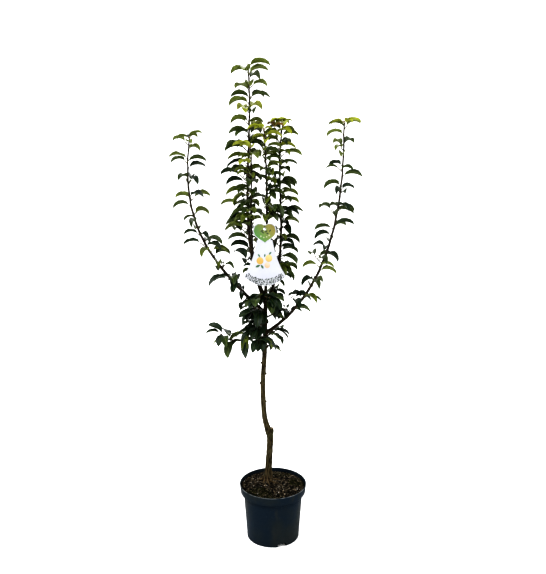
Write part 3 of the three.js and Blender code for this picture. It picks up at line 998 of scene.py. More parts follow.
def blade_stations(leaf, foot, curl, middle, reach):
    stations = []
    at = foot
    before = 0.0
    for share in ring_shares:
        halfway = (share + before) / 2
        facing = leaf["turn"] + curl * halfway
        part = leaf["length"] * (share - before)
        at = at + toward(facing, middle + reach * (1 - 2 * halfway)) * part
        before = share
        stations.append((at, facing, middle + reach * (1 - 2 * share)))
    return stations


def leaf_corners(leaf, draw):
    turn, length, petiole = leaf["turn"], leaf["length"], leaf["petiole"]
    age = "old" if leaf["mass"].startswith(("spur", "low")) else "young"
    middle = (leaf["lift"] + leaf["droop"]) / 2 + math.radians(mix(*HANG[age], draw()))
    reach = (leaf["lift"] - leaf["droop"]) / 2 * ARCH[age]
    fold = math.radians(mix(*FOLD[age], draw()))
    roll = math.radians(mix(*ROLL[age], draw())) * (1 if draw() < 0.5 else -1)
    curl = mix(*CURL, draw())
    wave = mix(*WAVE["share"], draw()) * WAVE["height"] * length
    phase = mix(0, 2 * math.pi, draw())
    stalk = STALK["radius"] + STALK["per_length"] * length
    foot = leaf["root"] + toward(turn, leaf["lift"]) * petiole
    sagging = (leaf["root"] + foot) / 2 - UP * STALK["sag"] * petiole
    stalk_rings = [(leaf["root"], STALK["foot"] * stalk), (sagging, stalk)]
    blade_rings = blade_stations(leaf, foot, curl, middle, reach)
    corners = []
    for ring, column in zip(leaf_rings, leaf_columns):
        if ring < PETIOLE_RINGS:
            at, radius = stalk_rings[ring]
            across = np.array([-math.sin(turn), math.cos(turn), 0.0])
            over = toward(turn, leaf["lift"] + math.pi / 2)
            around = corner_angle(column)
            corners.append(at + radius * (math.cos(around) * across + math.sin(around) * over))
            continue
        step = ring - PETIOLE_RINGS
        at, facing, angle = blade_rings[step]
        share = ring_shares[step]
        fullness = half_width(share)
        level = np.array([-math.sin(facing), math.cos(facing), 0.0])
        upward = toward(facing, angle + math.pi / 2)
        tilt = roll * share
        across = level * math.cos(tilt) + upward * math.sin(tilt)
        over = upward * math.cos(tilt) - level * math.sin(tilt)
        v = (TOP_CORNERS + UNDER_CORNERS)[column]
        half = FULL[age] * LEAF["half_width"] * length * fullness
        wide = max(half, stalk * (1 - share) * STALK["in_blade"] + STALK["least"]) * v
        height = abs(wide) * math.tan(fold)
        ripple = math.sin(phase + WAVE["turns"] * share + (WAVE["offset"] if v > 0 else 0))
        height += wave * v * v * ripple * fullness
        if column >= len(TOP_CORNERS):
            height -= BLADE["thickness"] + BLADE["rib"] * (1 - share)
        elif abs(v) == min(map(abs, TOP_CORNERS)):
            height -= BLADE["groove"]
        elif abs(v) < 1:
            height += PILLOW[step % 2] * fullness
        corners.append(at + (across * wide + over * height) * math.cos(fold))
    return np.array(corners)


print("corners of a leaf:", len(leaf_corners(leaves[0], seeded(1))))

# %% [markdown]
# Colour follows age. The spurs on the trunk bear the oldest leaves, dark and bluish, and the
# tips the youngest, yellow-green. Each spray takes one tint, and each tint is a piece of its
# own. Its colour varies only in soft patches, because a pattern can't follow so many leaves.

# %% Leaf tints
TINTS = {
    "dark": ((0.012, 0.024, 0.011), (0.025, 0.039, 0.018), (0.050, 0.068, 0.024)),
    "green": ((0.032, 0.049, 0.014), (0.056, 0.075, 0.026), (0.098, 0.123, 0.037)),
    "fresh": ((0.082, 0.104, 0.019), (0.112, 0.137, 0.035), (0.17, 0.20, 0.056)),
    "young": ((0.200, 0.225, 0.020), (0.220, 0.240, 0.045), (0.28, 0.29, 0.07)),
    "blush": ((0.165, 0.110, 0.028), (0.230, 0.150, 0.060), (0.28, 0.20, 0.08)),
}
SIDES_OF_LEAF = {
    "upper": {"roughness": 0.42, "gloss": 0.22},
    "under": {"roughness": 0.62, "gloss": 0.1},
    "rib": {"roughness": 0.5, "gloss": 0.1},
}
AGES = {
    "spur": [("dark", 0.76), ("green", 0.97), ("fresh", 1)],
    "low": [("dark", 0.5), ("green", 0.9), ("fresh", 1)],
    "middle": [("dark", 0.18), ("green", 0.66), ("fresh", 1)],
    "high": [("dark", 0.03), ("green", 0.32), ("fresh", 0.88), ("young", 1)],
    "tip": [("fresh", 0.3), ("young", 1)],
}
TINT_SEEDS = {"start": 13, "step": 7919}
LEAF_PATCHES = {"shade": 0.72, "light": 1.22}
YOUNG_TIPS = {"right_bough": 0.96, "side_leader": 0.86, "middle_leader": 0.9, "right_leader": 0.96}
OLDER = {"left_bough": 0.15, "right_bough": 0.42, "low_left_twig": 0.4}
AGE_ENDS = {"low": 0.3, "middle": 0.72}


def age_of(leaf):
    if leaf["mass"].startswith("spur"):
        return "spur"
    if leaf["share"] > YOUNG_TIPS.get(leaf["mass"], 1):
        return "tip"
    share = leaf["share"] - OLDER.get(leaf["mass"], 0)
    return next((age for age, end in AGE_ENDS.items() if share < end), "high")


def tint_of(leaf):
    if leaf["spray"] == blush_spray:
        return "blush"
    draw = seeded(leaf["spray"] * TINT_SEEDS["step"] + TINT_SEEDS["start"])
    # First draws climb by one even step from spray to spray, so they are skipped.
    draw()
    chance = draw()
    return next(tint for tint, most in AGES[age_of(leaf)] if chance <= most)


def leaf_material(name, color, roughness, gloss):
    material, tree, shader, here = new_material(name, roughness, gloss)
    mask = patch_mask(tree, here, scale=55.0, detail=3.0, low=0.3, high=0.72)
    shade = tuple(LEAF_PATCHES["shade"] * part for part in color)
    light = tuple(LEAF_PATCHES["light"] * part for part in color)
    tree.links.new(mix_colors(tree, mask, rgb(*shade), rgb(*light)), shader.inputs["Base Color"])
    tree.links.new(grain_normal(tree, here, 900.0, 0.00012), shader.inputs["Normal"])
    return material


print("tints:", ", ".join(TINTS))

# %% [markdown]
# Now the leaves are drawn into one piece for each tint. Together they stand for the masses
# of foliage, and each piece hides them all, because most masses have leaves of more than one tint.

# %% Leaves
LEAF_SEEDS = {"start": 1009, "step": 37}
LEAF_EDGE_ANGLE = 110

by_tint = {tint: [] for tint in TINTS}
for number, leaf in enumerate(leaves):
    seed = LEAF_SEEDS["start"] + LEAF_SEEDS["step"] * number
    by_tint[tint_of(leaf)].append(leaf_corners(leaf, seeded(seed)))
foliage_nodes = [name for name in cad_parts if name.endswith("_foliage")]
for tint, colors in TINTS.items():
    if not by_tint[tint]:
        continue
    mesh = joined(f"leaves_{tint}", leaf_faces, by_tint[tint], leaf_kinds)
    finishes = [
        leaf_material(f"leaf_{tint}_{side}", color, **finish)
        for color, (side, finish) in zip(colors, SIDES_OF_LEAF.items())
    ]
    finish_piece(f"leaves_{tint}", mesh, finishes, foliage_nodes, LEAF_EDGE_ANGLE)

# %% [markdown]
# Stems and twigs are tapering tubes. A tube is a circle that is drawn out station by station
# along a curve, and turned to face along it. Its turn is measured from the way back, or from
# the way up if the tube itself runs back. A stem swells a little at each place where a leaf
# grows, and bends aside there, which gives a shoot its knotty look.

# %% Tubes


def tube(points, radii, sides):
    bm = bmesh.new()
    reference = reference_for(unit(points[-1] - points[0]))
    ring = bmesh.ops.create_circle(bm, segments=sides, radius=1)["verts"]
    edges = list({edge for corner in ring for edge in corner.link_edges})
    first_edges = edges
    placed = Matrix.Identity(4)
    for i, (at, radius) in enumerate(zip(points, radii)):
        along = unit(points[min(i + 1, len(points) - 1)] - points[max(i - 1, 0)])
        right = unit(np.cross(reference, along))
        far = np.cross(along, right)
        columns = [[*(radius * vector), 0] for vector in (right, far, along)]
        turned = Matrix([*columns, [*at, 1]]).transposed()
        if i:
            drawn = bmesh.ops.extrude_edge_only(bm, edges=edges)["geom"]
            ring = [item for item in drawn if isinstance(item, bmesh.types.BMVert)]
            inside = set(ring)
            edges = [e for e in drawn if isinstance(e, bmesh.types.BMEdge) and set(e.verts) <= inside]
        bmesh.ops.transform(bm, matrix=turned @ placed.inverted(), verts=ring)
        placed = turned
    for rim in (first_edges, edges):
        bmesh.ops.contextual_create(bm, geom=rim)
    bmesh.ops.recalc_face_normals(bm, faces=bm.faces)
    return bm


def swellings(points, shares, radii, width, height):
    length = np.linalg.norm(np.diff(points, axis=0), axis=1).sum()
    at = np.linspace(0, 1, len(points))
    swollen = np.array(radii, float)
    for share in shares:
        swollen += height * np.exp(-(((at - share) * length / width) ** 2))
    return swollen


print("tubes are ready")

# %% [markdown]
# The bare wood is fused: trunk, stub, pruning scars, root tops and boughs are closed tubes that
# run into each other. The trunk comes first. Its foot is pushed out into low ribs, where the
# roots begin.

# %% Trunk wood
WOOD = {"trunk_steps": 150, "trunk_sides": 28, "limb_steps": 90, "limb_sides": 12, "overlap": 0.03}
FLARE = {"ribs": 5, "depth": 0.16, "top": 240}

bm = bmesh.new()
points = spaced(trunk_curve, WOOD["trunk_steps"])
add_part(bm, tube(points, [trunk_radius(z) for z in points[:, 2]], WOOD["trunk_sides"]))
for corner in bm.verts:
    down = min(max((FLARE["top"] - corner.co.z) / (FLARE["top"] - SOIL_TOP), 0), 1)
    axis = at_height(trunk, corner.co.z)
    away = corner.co.xy - Vector(axis[:2])
    angle = math.atan2(away.y, away.x)
    swell = 1 + FLARE["depth"] * down * math.cos(FLARE["ribs"] * angle)
    corner.co.xy = Vector(axis[:2]) + away * swell
print("trunk corners:", len(bm.verts))

# %% [markdown]
# The stub is what is left of the rootstock's own top, sawn off above the graft. Pruning scars
# are short pegs that lean upwards. Root tops leave the foot in bent arcs and dip into the soil.

# %% Stub, scars and root tops
GRAFT_STUB = {"foot": (-12, 33, 338), "top": (-4.5, 33, 384), "radii": (8.8, 5.8), "steps": 8, "sides": 16}
PRUNING_SCARS = [(478, 20, 5), (547, 185, 5), (581, -15, 6), (620, 190, 5), (688, 60, 5)]
SCAR = {"radii": (3.4, 2.2), "rise": 30, "steps": 4, "sides": 10}
ROOTS = [(-100, 34), (-62, 46), (-22, 36), (40, 30), (112, 28), (178, 34), (224, 30)]
ROOT = {"start": 8, "bend": 24, "radii": (5.5, 1.0), "heights": (8, -0.4), "steps": 8, "sides": 10}

foot, top = (np.array(GRAFT_STUB[key], float) for key in ("foot", "top"))
shares = np.linspace(0, 1, GRAFT_STUB["steps"] + 1)
stub_points = spaced(line_curve(foot, top), GRAFT_STUB["steps"])
add_part(bm, tube(stub_points, mix(*GRAFT_STUB["radii"], shares**3), GRAFT_STUB["sides"]))
cut_ends = [(top, unit(top - foot), GRAFT_STUB["radii"][1])]
for height, turn, length in PRUNING_SCARS:
    root = at_height(trunk, height)
    way = heading(math.radians(turn), math.radians(SCAR["rise"]))
    end = root + way * (length + trunk_radius(height))
    scar_points = spaced(line_curve(root, end), SCAR["steps"])
    add_part(bm, tube(scar_points, np.linspace(*SCAR["radii"], SCAR["steps"] + 1), SCAR["sides"]))
    cut_ends.append((end, way, SCAR["radii"][1]))
foot_x, foot_y = TRUNK_BENDS[0][:2]
shares = np.linspace(0, 1, ROOT["steps"] + 1)
for angle, reach in ROOTS:
    turns = np.radians(angle + ROOT["bend"] * shares)
    away = ROOT["start"] + reach * shares
    heights = SOIL_TOP + mix(*ROOT["heights"], np.sqrt(shares))
    root_points = np.column_stack([foot_x + away * np.cos(turns), foot_y + away * np.sin(turns), heights])
    add_part(bm, tube(root_points, mix(*ROOT["radii"], shares), ROOT["sides"]))
print("cut ends:", len(cut_ends), "root tops:", len(ROOTS))

# %% [markdown]
# Each limb starts in the trunk with a collar, and its bare part reaches a little way into the
# leafy stem. A voxel remesh then gives one skin over all the wood, with the soft crotches that
# real branches have. A little smoothing rounds the steps that the voxels leave.

# %% Fused wood
COLLAR = {"width": 14, "height": 2.4}
VOXEL = 0.9
ROUNDING = {"factor": 0.5, "times": 6}

for mass in masses:
    if not mass["long"]:
        continue
    points = spaced(mass["curve"], WOOD["limb_steps"])
    taper = np.linspace(*mass["radii"], len(points))
    radii = swellings(points, [0], taper, COLLAR["width"], COLLAR["height"])
    last = round((mass["split"] + WOOD["overlap"]) * WOOD["limb_steps"])
    add_part(bm, tube(points[: last + 1], radii[: last + 1], WOOD["limb_sides"]))
bmesh.ops.recalc_face_normals(bm, faces=bm.faces)
rough_wood = in_scene("rough_wood", mesh_of("rough_wood", bm))
remesh = rough_wood.modifiers.new("fuse", "REMESH")
remesh.mode = "VOXEL"
remesh.voxel_size = VOXEL * MM
rounding = rough_wood.modifiers.new("round", "SMOOTH")
rounding.factor = ROUNDING["factor"]
rounding.iterations = ROUNDING["times"]
fused = plain_mesh(rough_wood)
print("fused wood:", len(fused.polygons), "faces")

# %% [markdown]
# Bark relief is modelled, not painted. The rootstock is the oldest wood and has long
# upright cracks. Above the graft the bark is smooth, with shallow rings. Each corner moves
# along its normal by a noise that is stretched upwards.

# %% Bark relief
RELIEF = {
    "swell": 1.0,
    "old_top": 350,
    "fade": 60,
    "cracks": 0.95,
    "sharpness": 3.2,
    "crack_level": 0.75,
    "ridges": 0.35,
    "young_ridges": 0.35,
    "lumps": 0.5,
    "rings": 0.28,
}
BARK_NOISE = {
    "cracks": Vector((0.34, 0.34, 0.045)),
    "ridges": Vector((0.8, 0.8, 0.16)),
    "lumps": Vector((0.11, 0.11, 0.11)),
    "rings": Vector((0.12, 0.12, 0.7)),
}
GRAFT = {"height": 358, "reach": 26, "lumps": 1.3}


def bark_height(at):
    old = min(max((RELIEF["old_top"] + RELIEF["fade"] - at.z) / RELIEF["fade"], 0), 1)
    graft = math.exp(-(((at.z - GRAFT["height"]) / GRAFT["reach"]) ** 2))
    cracks, ridges, lumps, rings = (noise.noise(at * scale) for scale in BARK_NOISE.values())
    depth = min(abs(cracks) * RELIEF["sharpness"], 1) - RELIEF["crack_level"]
    height = RELIEF["swell"] + old * RELIEF["cracks"] * depth
    height += RELIEF["ridges"] * ridges * mix(RELIEF["young_ridges"], 1, old)
    height += (RELIEF["lumps"] + GRAFT["lumps"] * graft) * lumps
    return height + RELIEF["rings"] * rings * (1 - old)


normals = [corner.normal.copy() for corner in fused.vertices]
raised = 0
for corner, normal in zip(fused.vertices, normals):
    at = corner.co / MM
    if at.z > SOIL_TOP + 1:
        corner.co += normal * bark_height(at) * MM
        raised += 1
print("corners with bark relief:", raised)

# %% [markdown]
# Bark is grey-brown with upright streaks, darker in its cracks, and a thin green film grows on
# its damp side. Toward the fork, in the shade of the leaves above, it is darkened by painted
# shade, and earth has stained its foot. Heights in a material are in metres.

# %% Bark finish
CLUMP_SHADE = {"low": 0.62, "high": 0.76, "share": 0.75}
EARTHY_FOOT = {"low": 0.25, "high": 0.2}
FADED = 0.55

bark, tree, shader, here = new_material("bark", 0.86, gloss=0.12)
upright = stretched(tree, here, (1, 1, 0.16))
streaks = patch_mask(tree, upright, scale=300.0, detail=5.0, low=0.36, high=0.62)
blotches = patch_mask(tree, here, scale=38.0, detail=4.0, low=0.42, high=0.66)
film = patch_mask(tree, here, scale=16.0, detail=5.0, low=0.52, high=0.74)
streaked = mix_colors(tree, streaks, rgb(0.010, 0.008, 0.004), rgb(0.059, 0.048, 0.025))
blotched = mix_colors(tree, blotches, streaked, rgb(0.080, 0.070, 0.041))
filmed = mix_colors(tree, film, mix_colors(tree, FADED, streaked, blotched), rgb(0.040, 0.044, 0.020))
# Painted shade: from 0.62 m upwards the bark is darkened toward the fork, where the leaves above shade it.
upper = height_ramp(tree, here, CLUMP_SHADE["low"], CLUMP_SHADE["high"])
clump_shaded_bark = mix_colors(tree, multiplied(tree, upper, CLUMP_SHADE["share"]), filmed, rgb(0.012, 0.010, 0.006))
near_soil = height_ramp(tree, here, EARTHY_FOOT["low"], EARTHY_FOOT["high"])
earthy = mix_colors(tree, multiplied(tree, near_soil, streaks), clump_shaded_bark, rgb(0.088, 0.064, 0.038))
tree.links.new(earthy, shader.inputs["Base Color"])
tree.links.new(grain_normal(tree, upright, 900.0, 0.0006), shader.inputs["Normal"])
print("bark nodes:", len(tree.nodes))

# %% [markdown]
# The sawn face of the stub and of each scar is old bare wood. The faces of the fused skin that
# lie near a cut end and face its way take this second material.

# %% Cut wood
CUT = {"reach": 8, "width": 1.2, "facing": 0.75}

cut_wood, tree, shader, here = new_material("cut_wood", 0.8)
rings_mask = patch_mask(tree, here, scale=420.0, detail=3.0, low=0.38, high=0.62)
sawn = mix_colors(tree, rings_mask, rgb(0.085, 0.066, 0.045), rgb(0.24, 0.19, 0.13))
tree.links.new(sawn, shader.inputs["Base Color"])
tree.links.new(grain_normal(tree, here, 1200.0, 0.0005), shader.inputs["Normal"])
for face in fused.polygons:
    middle = np.array(face.center) / MM
    for at, way, radius in cut_ends:
        if abs(middle[2] - at[2]) < CUT["reach"] and np.linalg.norm(middle - at) < radius * CUT["width"]:
            if np.dot(np.array(face.normal), way) > CUT["facing"]:
                face.material_index = 1
finish_piece("bark_wood", fused, [bark, cut_wood], ["trunk", *LIMBS], 180)

# %% [markdown]
# The shoots carry on where the bare wood ends, with a ring scar at the join as a real shoot
# has where a year's growth starts. A stem swells and sways at each leaf, and so do the twigs.

# %% Shoots
SHOOT = {"steps": 240, "sides": 9, "bark": 0.6, "node_width": 3.2, "node_height": 0.55, "sway": 0.8}
SPUR_SHOOT = {"steps": 24, "sides": 7, "node_height": 0.4}
SWAY_WIDTH = 1.6
RING_SCAR = {"share": 0.004, "width": 1.6, "height": 0.5}
TWIG_SHOOT = {"steps": 6, "sides": 6, "foot": 1.4, "nodes": (0.5, 0.95), "width": 2.5, "height": 0.35}

bm = bmesh.new()
for mass in masses:
    kind = SHOOT if mass["long"] else {**SHOOT, **SPUR_SHOOT}
    points = spaced(mass["curve"], kind["steps"])
    radii = np.linspace(*mass["radii"], len(points)) + kind["bark"]
    first = round(mass["split"] * kind["steps"])
    points, radii = points[first:], radii[first:]
    shares = [(place + 1) / mass["places"] * LEAF["last_place"] for place in range(mass["places"])]
    radii = swellings(points, shares, radii, kind["node_width"], kind["node_height"])
    if mass["long"]:
        radii = swellings(points, [RING_SCAR["share"]], radii, RING_SCAR["width"], RING_SCAR["height"])
    at = np.linspace(0, 1, len(points))
    for place, share in enumerate(shares):
        side = heading(math.radians(mass["turn"] + place * LEAF["turn_step"]), 0)
        near = np.exp(-(((at - share) * mass["places"] * SWAY_WIDTH) ** 2))
        points = points + kind["sway"] * near[:, None] * side
    add_part(bm, tube(points, radii, kind["sides"]))
for twig in twigs:
    points = spaced(line_curve(twig["root"], twig["tip"]), TWIG_SHOOT["steps"])
    radii = np.linspace(*twig["radii"], len(points))
    radii[0] *= TWIG_SHOOT["foot"]
    radii = swellings(points, TWIG_SHOOT["nodes"], radii, TWIG_SHOOT["width"], TWIG_SHOOT["height"])
    add_part(bm, tube(points, radii, TWIG_SHOOT["sides"]))
bmesh.ops.recalc_face_normals(bm, faces=bm.faces)
print("shoots:", len(masses), "twigs:", len(twigs))

# %% [markdown]
# The bark of a shoot is dark brown, smooth and a little shiny, with pale pores.

# %% Shoot bark
shoot_bark, tree, shader, here = new_material("shoot_bark", 0.55, gloss=0.15)
tones = patch_mask(tree, here, scale=26.0, detail=4.0, low=0.36, high=0.64)
pores = patch_mask(tree, here, scale=520.0, detail=1.0, low=0.64, high=0.68)
young = mix_colors(tree, tones, rgb(0.012, 0.009, 0.006), rgb(0.030, 0.023, 0.013))
tree.links.new(mix_colors(tree, pores, young, rgb(0.10, 0.085, 0.06)), shader.inputs["Base Color"])
tree.links.new(grain_normal(tree, here, 1100.0, 0.0003), shader.inputs["Normal"])
finish_piece("shoots", mesh_of("shoots", bm), [shoot_bark], (), 180)

# %% [markdown]
# A bud sits over the foot of every leaf: a small pointed egg of brown scales. A sphere with
# six sides, drawn out to a point, is enough for something so small and so often repeated.

# %% Buds
BUD = {"length": 5.6, "radius": 1.5, "lean": 38, "tip_length": 8.0, "tip_radius": 2.0}
BUD_SHAPE = {"foot": 1.15, "taper": 0.55}
BUD_PLACE = {"out": 1.2, "up": 0.8}

bm = bmesh.new()
bmesh.ops.create_uvsphere(bm, u_segments=6, v_segments=5, radius=1)
for corner in bm.verts:
    up = (corner.co.z + 1) / 2
    corner.co.xy *= BUD_SHAPE["foot"] - BUD_SHAPE["taper"] * up
    corner.co.z = up
bud_template = corners_of(bm)
bud_faces = faces_of(bm)
bm.free()


def placed_bud(at, way, length, radius):
    side = unit(np.cross(way, reference_for(way)))
    far = np.cross(way, side)
    return at + bud_template @ np.array([side * radius, far * radius, way * length])


buds = []
for leaf in leaves:
    way = toward(leaf["turn"], math.radians(90 - BUD["lean"]))
    start = leaf["root"] + heading(leaf["turn"], 0) * BUD_PLACE["out"] + UP * BUD_PLACE["up"]
    buds.append(placed_bud(start, way, BUD["length"], BUD["radius"]))
for mass in masses:
    stem = mass["stem"]["at"]
    way = unit(stem[-1] - stem[-2])
    buds.append(placed_bud(stem[-1] - way, way, BUD["tip_length"], BUD["tip_radius"]))
bud_scales, tree, shader, here = new_material("bud_scales", 0.6)
mask = patch_mask(tree, here, scale=260.0, detail=3.0, low=0.4, high=0.6)
scales = mix_colors(tree, mask, rgb(0.060, 0.030, 0.016), rgb(0.150, 0.085, 0.040))
tree.links.new(scales, shader.inputs["Base Color"])
tree.links.new(grain_normal(tree, here, 900.0, 0.0003), shader.inputs["Normal"])
finish_piece("buds", joined("buds", bud_faces, buds), [bud_scales], (), 180)

# %% [markdown]
# The pot is thin moulded plastic with a lip band that stacks, two faint rings below it, and a
# foot cut by drainage channels. Its walls lean outwards a little, so that pots fit into each
# other.

# %% Pot sizes
POT = {
    "height": 196,
    "rim": 114,
    "lip_height": 29,
    "lip_foot": 111,
    "body": 101,
    "foot": 89,
    "wall": 2.4,
    "floor": 15,
}
LIP_FOOT = POT["height"] - POT["lip_height"]
SHELF = LIP_FOOT + POT["wall"]


def body_radius(height):
    return mix(POT["foot"], POT["body"], height / LIP_FOOT)


def inside_radius(height, clearance=0.0):
    if height > LIP_FOOT:
        outer = mix(POT["lip_foot"], POT["rim"], (height - LIP_FOOT) / POT["lip_height"])
    else:
        outer = body_radius(height)
    return outer - POT["wall"] - clearance


print("radius inside the rim:", round(inside_radius(POT["height"]), 1))

# %% [markdown]
# A round thing is drawn once as a chain of points, its corners are rounded by a bevel, and the
# chain is spun round the vertical.

# %% Spinning


def spun(profile, sides, rounding=0.0):
    bm = bmesh.new()
    corners = [bm.verts.new((radius, 0, height)) for radius, height in profile]
    for low, high in zip(corners, corners[1:]):
        bm.edges.new((low, high))
    if rounding:
        inner = [corner for corner in corners if corner.co.x > 1 and len(corner.link_edges) == 2]
        bmesh.ops.bevel(
            bm,
            geom=inner,
            offset=rounding,
            affect="VERTICES",
            segments=3,
            profile=0.5,
            material=-1,
        )
    bmesh.ops.spin(
        bm,
        geom=bm.verts[:] + bm.edges[:],
        cent=(0, 0, 0),
        axis=(0, 0, 1),
        angle=2 * math.pi,
        steps=sides,
        use_merge=True,
    )
    bmesh.ops.remove_doubles(bm, verts=bm.verts, dist=0.001)
    bmesh.ops.recalc_face_normals(bm, faces=bm.faces)
    return bm


print("spinning is ready")

# %% [markdown]
# The chain of the pot runs from the middle of the hollow underside over the foot ring, up the
# outside with its moulded rings, round the lip, and down the inside to the floor.

# %% Pot
POT_SIDES = 128
POT_EDGE = 0.7
FOOT_RING = {"hollow": 0.6, "inner": 9, "outer": 7}
MOULD_RINGS = [10, 17]
MOULD_RING = {"foot": 0.05, "half": 1.1, "height": 0.35, "crest": 0.5}

outside = [
    (0, FOOT_RING["hollow"]),
    (POT["foot"] - FOOT_RING["inner"], FOOT_RING["hollow"]),
    (POT["foot"] - FOOT_RING["outer"], 0),
    (POT["foot"], 0),
]
for below in reversed(MOULD_RINGS):
    height = LIP_FOOT - below
    radius = body_radius(height)
    outside += [
        (radius - MOULD_RING["foot"], height - MOULD_RING["half"]),
        (radius + MOULD_RING["height"], height - MOULD_RING["crest"]),
        (radius + MOULD_RING["height"], height + MOULD_RING["crest"]),
        (radius + MOULD_RING["foot"], height + MOULD_RING["half"]),
    ]
lip = [(POT["body"], LIP_FOOT), (POT["lip_foot"], LIP_FOOT), (POT["rim"], POT["height"])]
inside = [
    (POT["rim"] - POT["wall"], POT["height"]),
    (inside_radius(SHELF), SHELF),
    (inside_radius(LIP_FOOT), SHELF),
    (inside_radius(POT["floor"]), POT["floor"]),
    (0, POT["floor"]),
]
bm = spun(outside + lip + inside, POT_SIDES, rounding=POT_EDGE)
pot_mesh = mesh_of("nursery_pot", bm)
print("pot:", len(pot_mesh.polygons), "faces")

# %% [markdown]
# The channels and holes are cut by a Boolean modifier, as a mould would leave them. The
# cutters are boxes that run outwards under the floor, and round pegs.

# %% Drainage
DRAINS = {"count": 3, "first": -70, "width": 29, "depth": 12, "start": 48, "hole": 5, "hole_reach": 66}

bm = bmesh.new()
for i in range(DRAINS["count"]):
    turned = Matrix.Rotation(math.radians(DRAINS["first"] + 360 * i / DRAINS["count"]), 4, "Z")
    length = POT["foot"]
    middle = Matrix.Translation((DRAINS["start"] + length / 2, 0, 0))
    box = middle @ Matrix.Diagonal((length, DRAINS["width"], 2 * DRAINS["depth"], 1))
    bmesh.ops.create_cube(bm, size=1, matrix=turned @ box)
    bmesh.ops.create_cone(
        bm,
        cap_ends=True,
        segments=24,
        radius1=DRAINS["hole"],
        radius2=DRAINS["hole"],
        depth=4 * POT["floor"],
        matrix=turned @ Matrix.Translation((DRAINS["hole_reach"], 0, 0)),
    )
cutter = in_scene("cutter", mesh_of("cutter", bm))
whole_pot = in_scene("whole_pot", pot_mesh)
cut = whole_pot.modifiers.new("drains", "BOOLEAN")
cut.operation = "DIFFERENCE"
cut.object = cutter
cut.solver = "EXACT"
cut.use_self = True
pot_mesh = plain_mesh(whole_pot)
bpy.data.objects.remove(cutter)
print("pot with drains:", len(pot_mesh.polygons), "faces")

# %% [markdown]
# Nursery plastic is dark blue-grey, matte, and never clean: dust clings to it in clouds, and
# thin scratches run round the body. Along the top of the lip lies a painted highlight in patches.

# %% Pot finish
RIM_HIGHLIGHT_BAND = 1.6

plastic, tree, shader, here = new_material("pot_plastic", 0.5, gloss=0.02)
around = stretched(tree, here, (1, 1, 0.35))
cloudy = patch_mask(tree, here, scale=9.0, detail=4.0, low=0.38, high=0.66)
dusty = patch_mask(tree, around, scale=34.0, detail=6.0, low=0.52, high=0.78)
level = stretched(tree, here, (0.25, 0.25, 1))
scratches = patch_mask(tree, level, scale=620.0, detail=2.0, low=0.66, high=0.74)
base = mix_colors(tree, cloudy, rgb(0.0125, 0.0205, 0.0295), rgb(0.0205, 0.0255, 0.0265))
dusted = mix_colors(tree, dusty, base, rgb(0.027, 0.030, 0.029))
scratched = mix_colors(tree, scratches, dusted, rgb(0.032, 0.041, 0.050))
rim_top = POT["height"] * MM
# Painted highlight: a pale band over the top 1.6 mm of the lip, broken into patches.
rim_highlight_patches = patch_mask(tree, here, scale=60.0, low=0.3, high=0.6)
rim_highlight = multiplied(tree, height_ramp(tree, here, rim_top - RIM_HIGHLIGHT_BAND * MM, rim_top), rim_highlight_patches)
rim_highlighted = mix_colors(tree, rim_highlight, scratched, rgb(0.150, 0.160, 0.165))
tree.links.new(rim_highlighted, shader.inputs["Base Color"])
rough = add_node(tree, "ShaderNodeMapRange", {"Value": dusty, "To Min": 0.42, "To Max": 0.75})
tree.links.new(rough.outputs["Result"], shader.inputs["Roughness"])
tree.links.new(grain_normal(tree, here, 700.0, 0.00025), shader.inputs["Normal"])
finish_piece("nursery_pot", pot_mesh, [plastic], ["pot"], 35)

# %% [markdown]
# The soil is peat with bark fines. It is spun like the pot, in many rings, and then its top
# is made uneven by three sizes of noise. It rises a little round the trunk, and is calmer
# beside the wall.

# %% Soil
SOIL = {"edge": 184, "mound": 62, "sides": 110, "rings": 34, "sink": 0.8}
UNEVEN = [(2.1, 0.045), (1.3, 0.13), (0.6, 0.42)]
CALM = {"width": 8, "least": 0.25}


def soil_height(x, y):
    radius = math.hypot(x, y)
    most = inside_radius(SOIL["edge"], GAP)
    share = min(max((radius - SOIL["mound"]) / (most - SOIL["mound"]), 0), 1)
    height = mix(SOIL_TOP, SOIL["edge"], share)
    at = Vector((x, y, 0))
    uneven = sum(size * noise.noise(at * scale) for size, scale in UNEVEN)
    calm = min(max((most - radius) / CALM["width"], CALM["least"]), 1)
    return height - SOIL["sink"] + uneven * calm


soil_foot = POT["floor"] + GAP
ledge = SHELF + GAP
profile = [
    (0, soil_foot),
    (inside_radius(soil_foot, GAP), soil_foot),
    (inside_radius(LIP_FOOT, GAP), ledge),
    (inside_radius(ledge, GAP), ledge),
]
edge_radius = inside_radius(SOIL["edge"], GAP)
profile += [(edge_radius * (1 - i / SOIL["rings"]), SOIL["edge"]) for i in range(SOIL["rings"] + 1)]
bm = spun(profile, SOIL["sides"])
for corner in bm.verts:
    if corner.co.z > SOIL["edge"] - GAP:
        corner.co.z = soil_height(corner.co.x, corner.co.y)
print("soil height in its middle:", round(soil_height(0, 0), 1))

# %% [markdown]
# Moist peat is nearly black in its hollows and brown on its lumps.

# %% Peat
peat, tree, shader, here = new_material("peat", 0.95, gloss=0.1)
lumps_mask = patch_mask(tree, here, scale=120.0, detail=6.0, low=0.38, high=0.64)
damp = patch_mask(tree, here, scale=14.0, detail=4.0, low=0.4, high=0.62)
brown = mix_colors(tree, lumps_mask, rgb(0.0015, 0.0014, 0.0011), rgb(0.012, 0.010, 0.007))
tree.links.new(mix_colors(tree, damp, brown, rgb(0.009, 0.008, 0.005)), shader.inputs["Base Color"])
tree.links.new(grain_normal(tree, here, 420.0, 0.002), shader.inputs["Normal"])
finish_piece("soil_bed", mesh_of("soil_bed", bm), [peat], ["potting_soil"], 180)

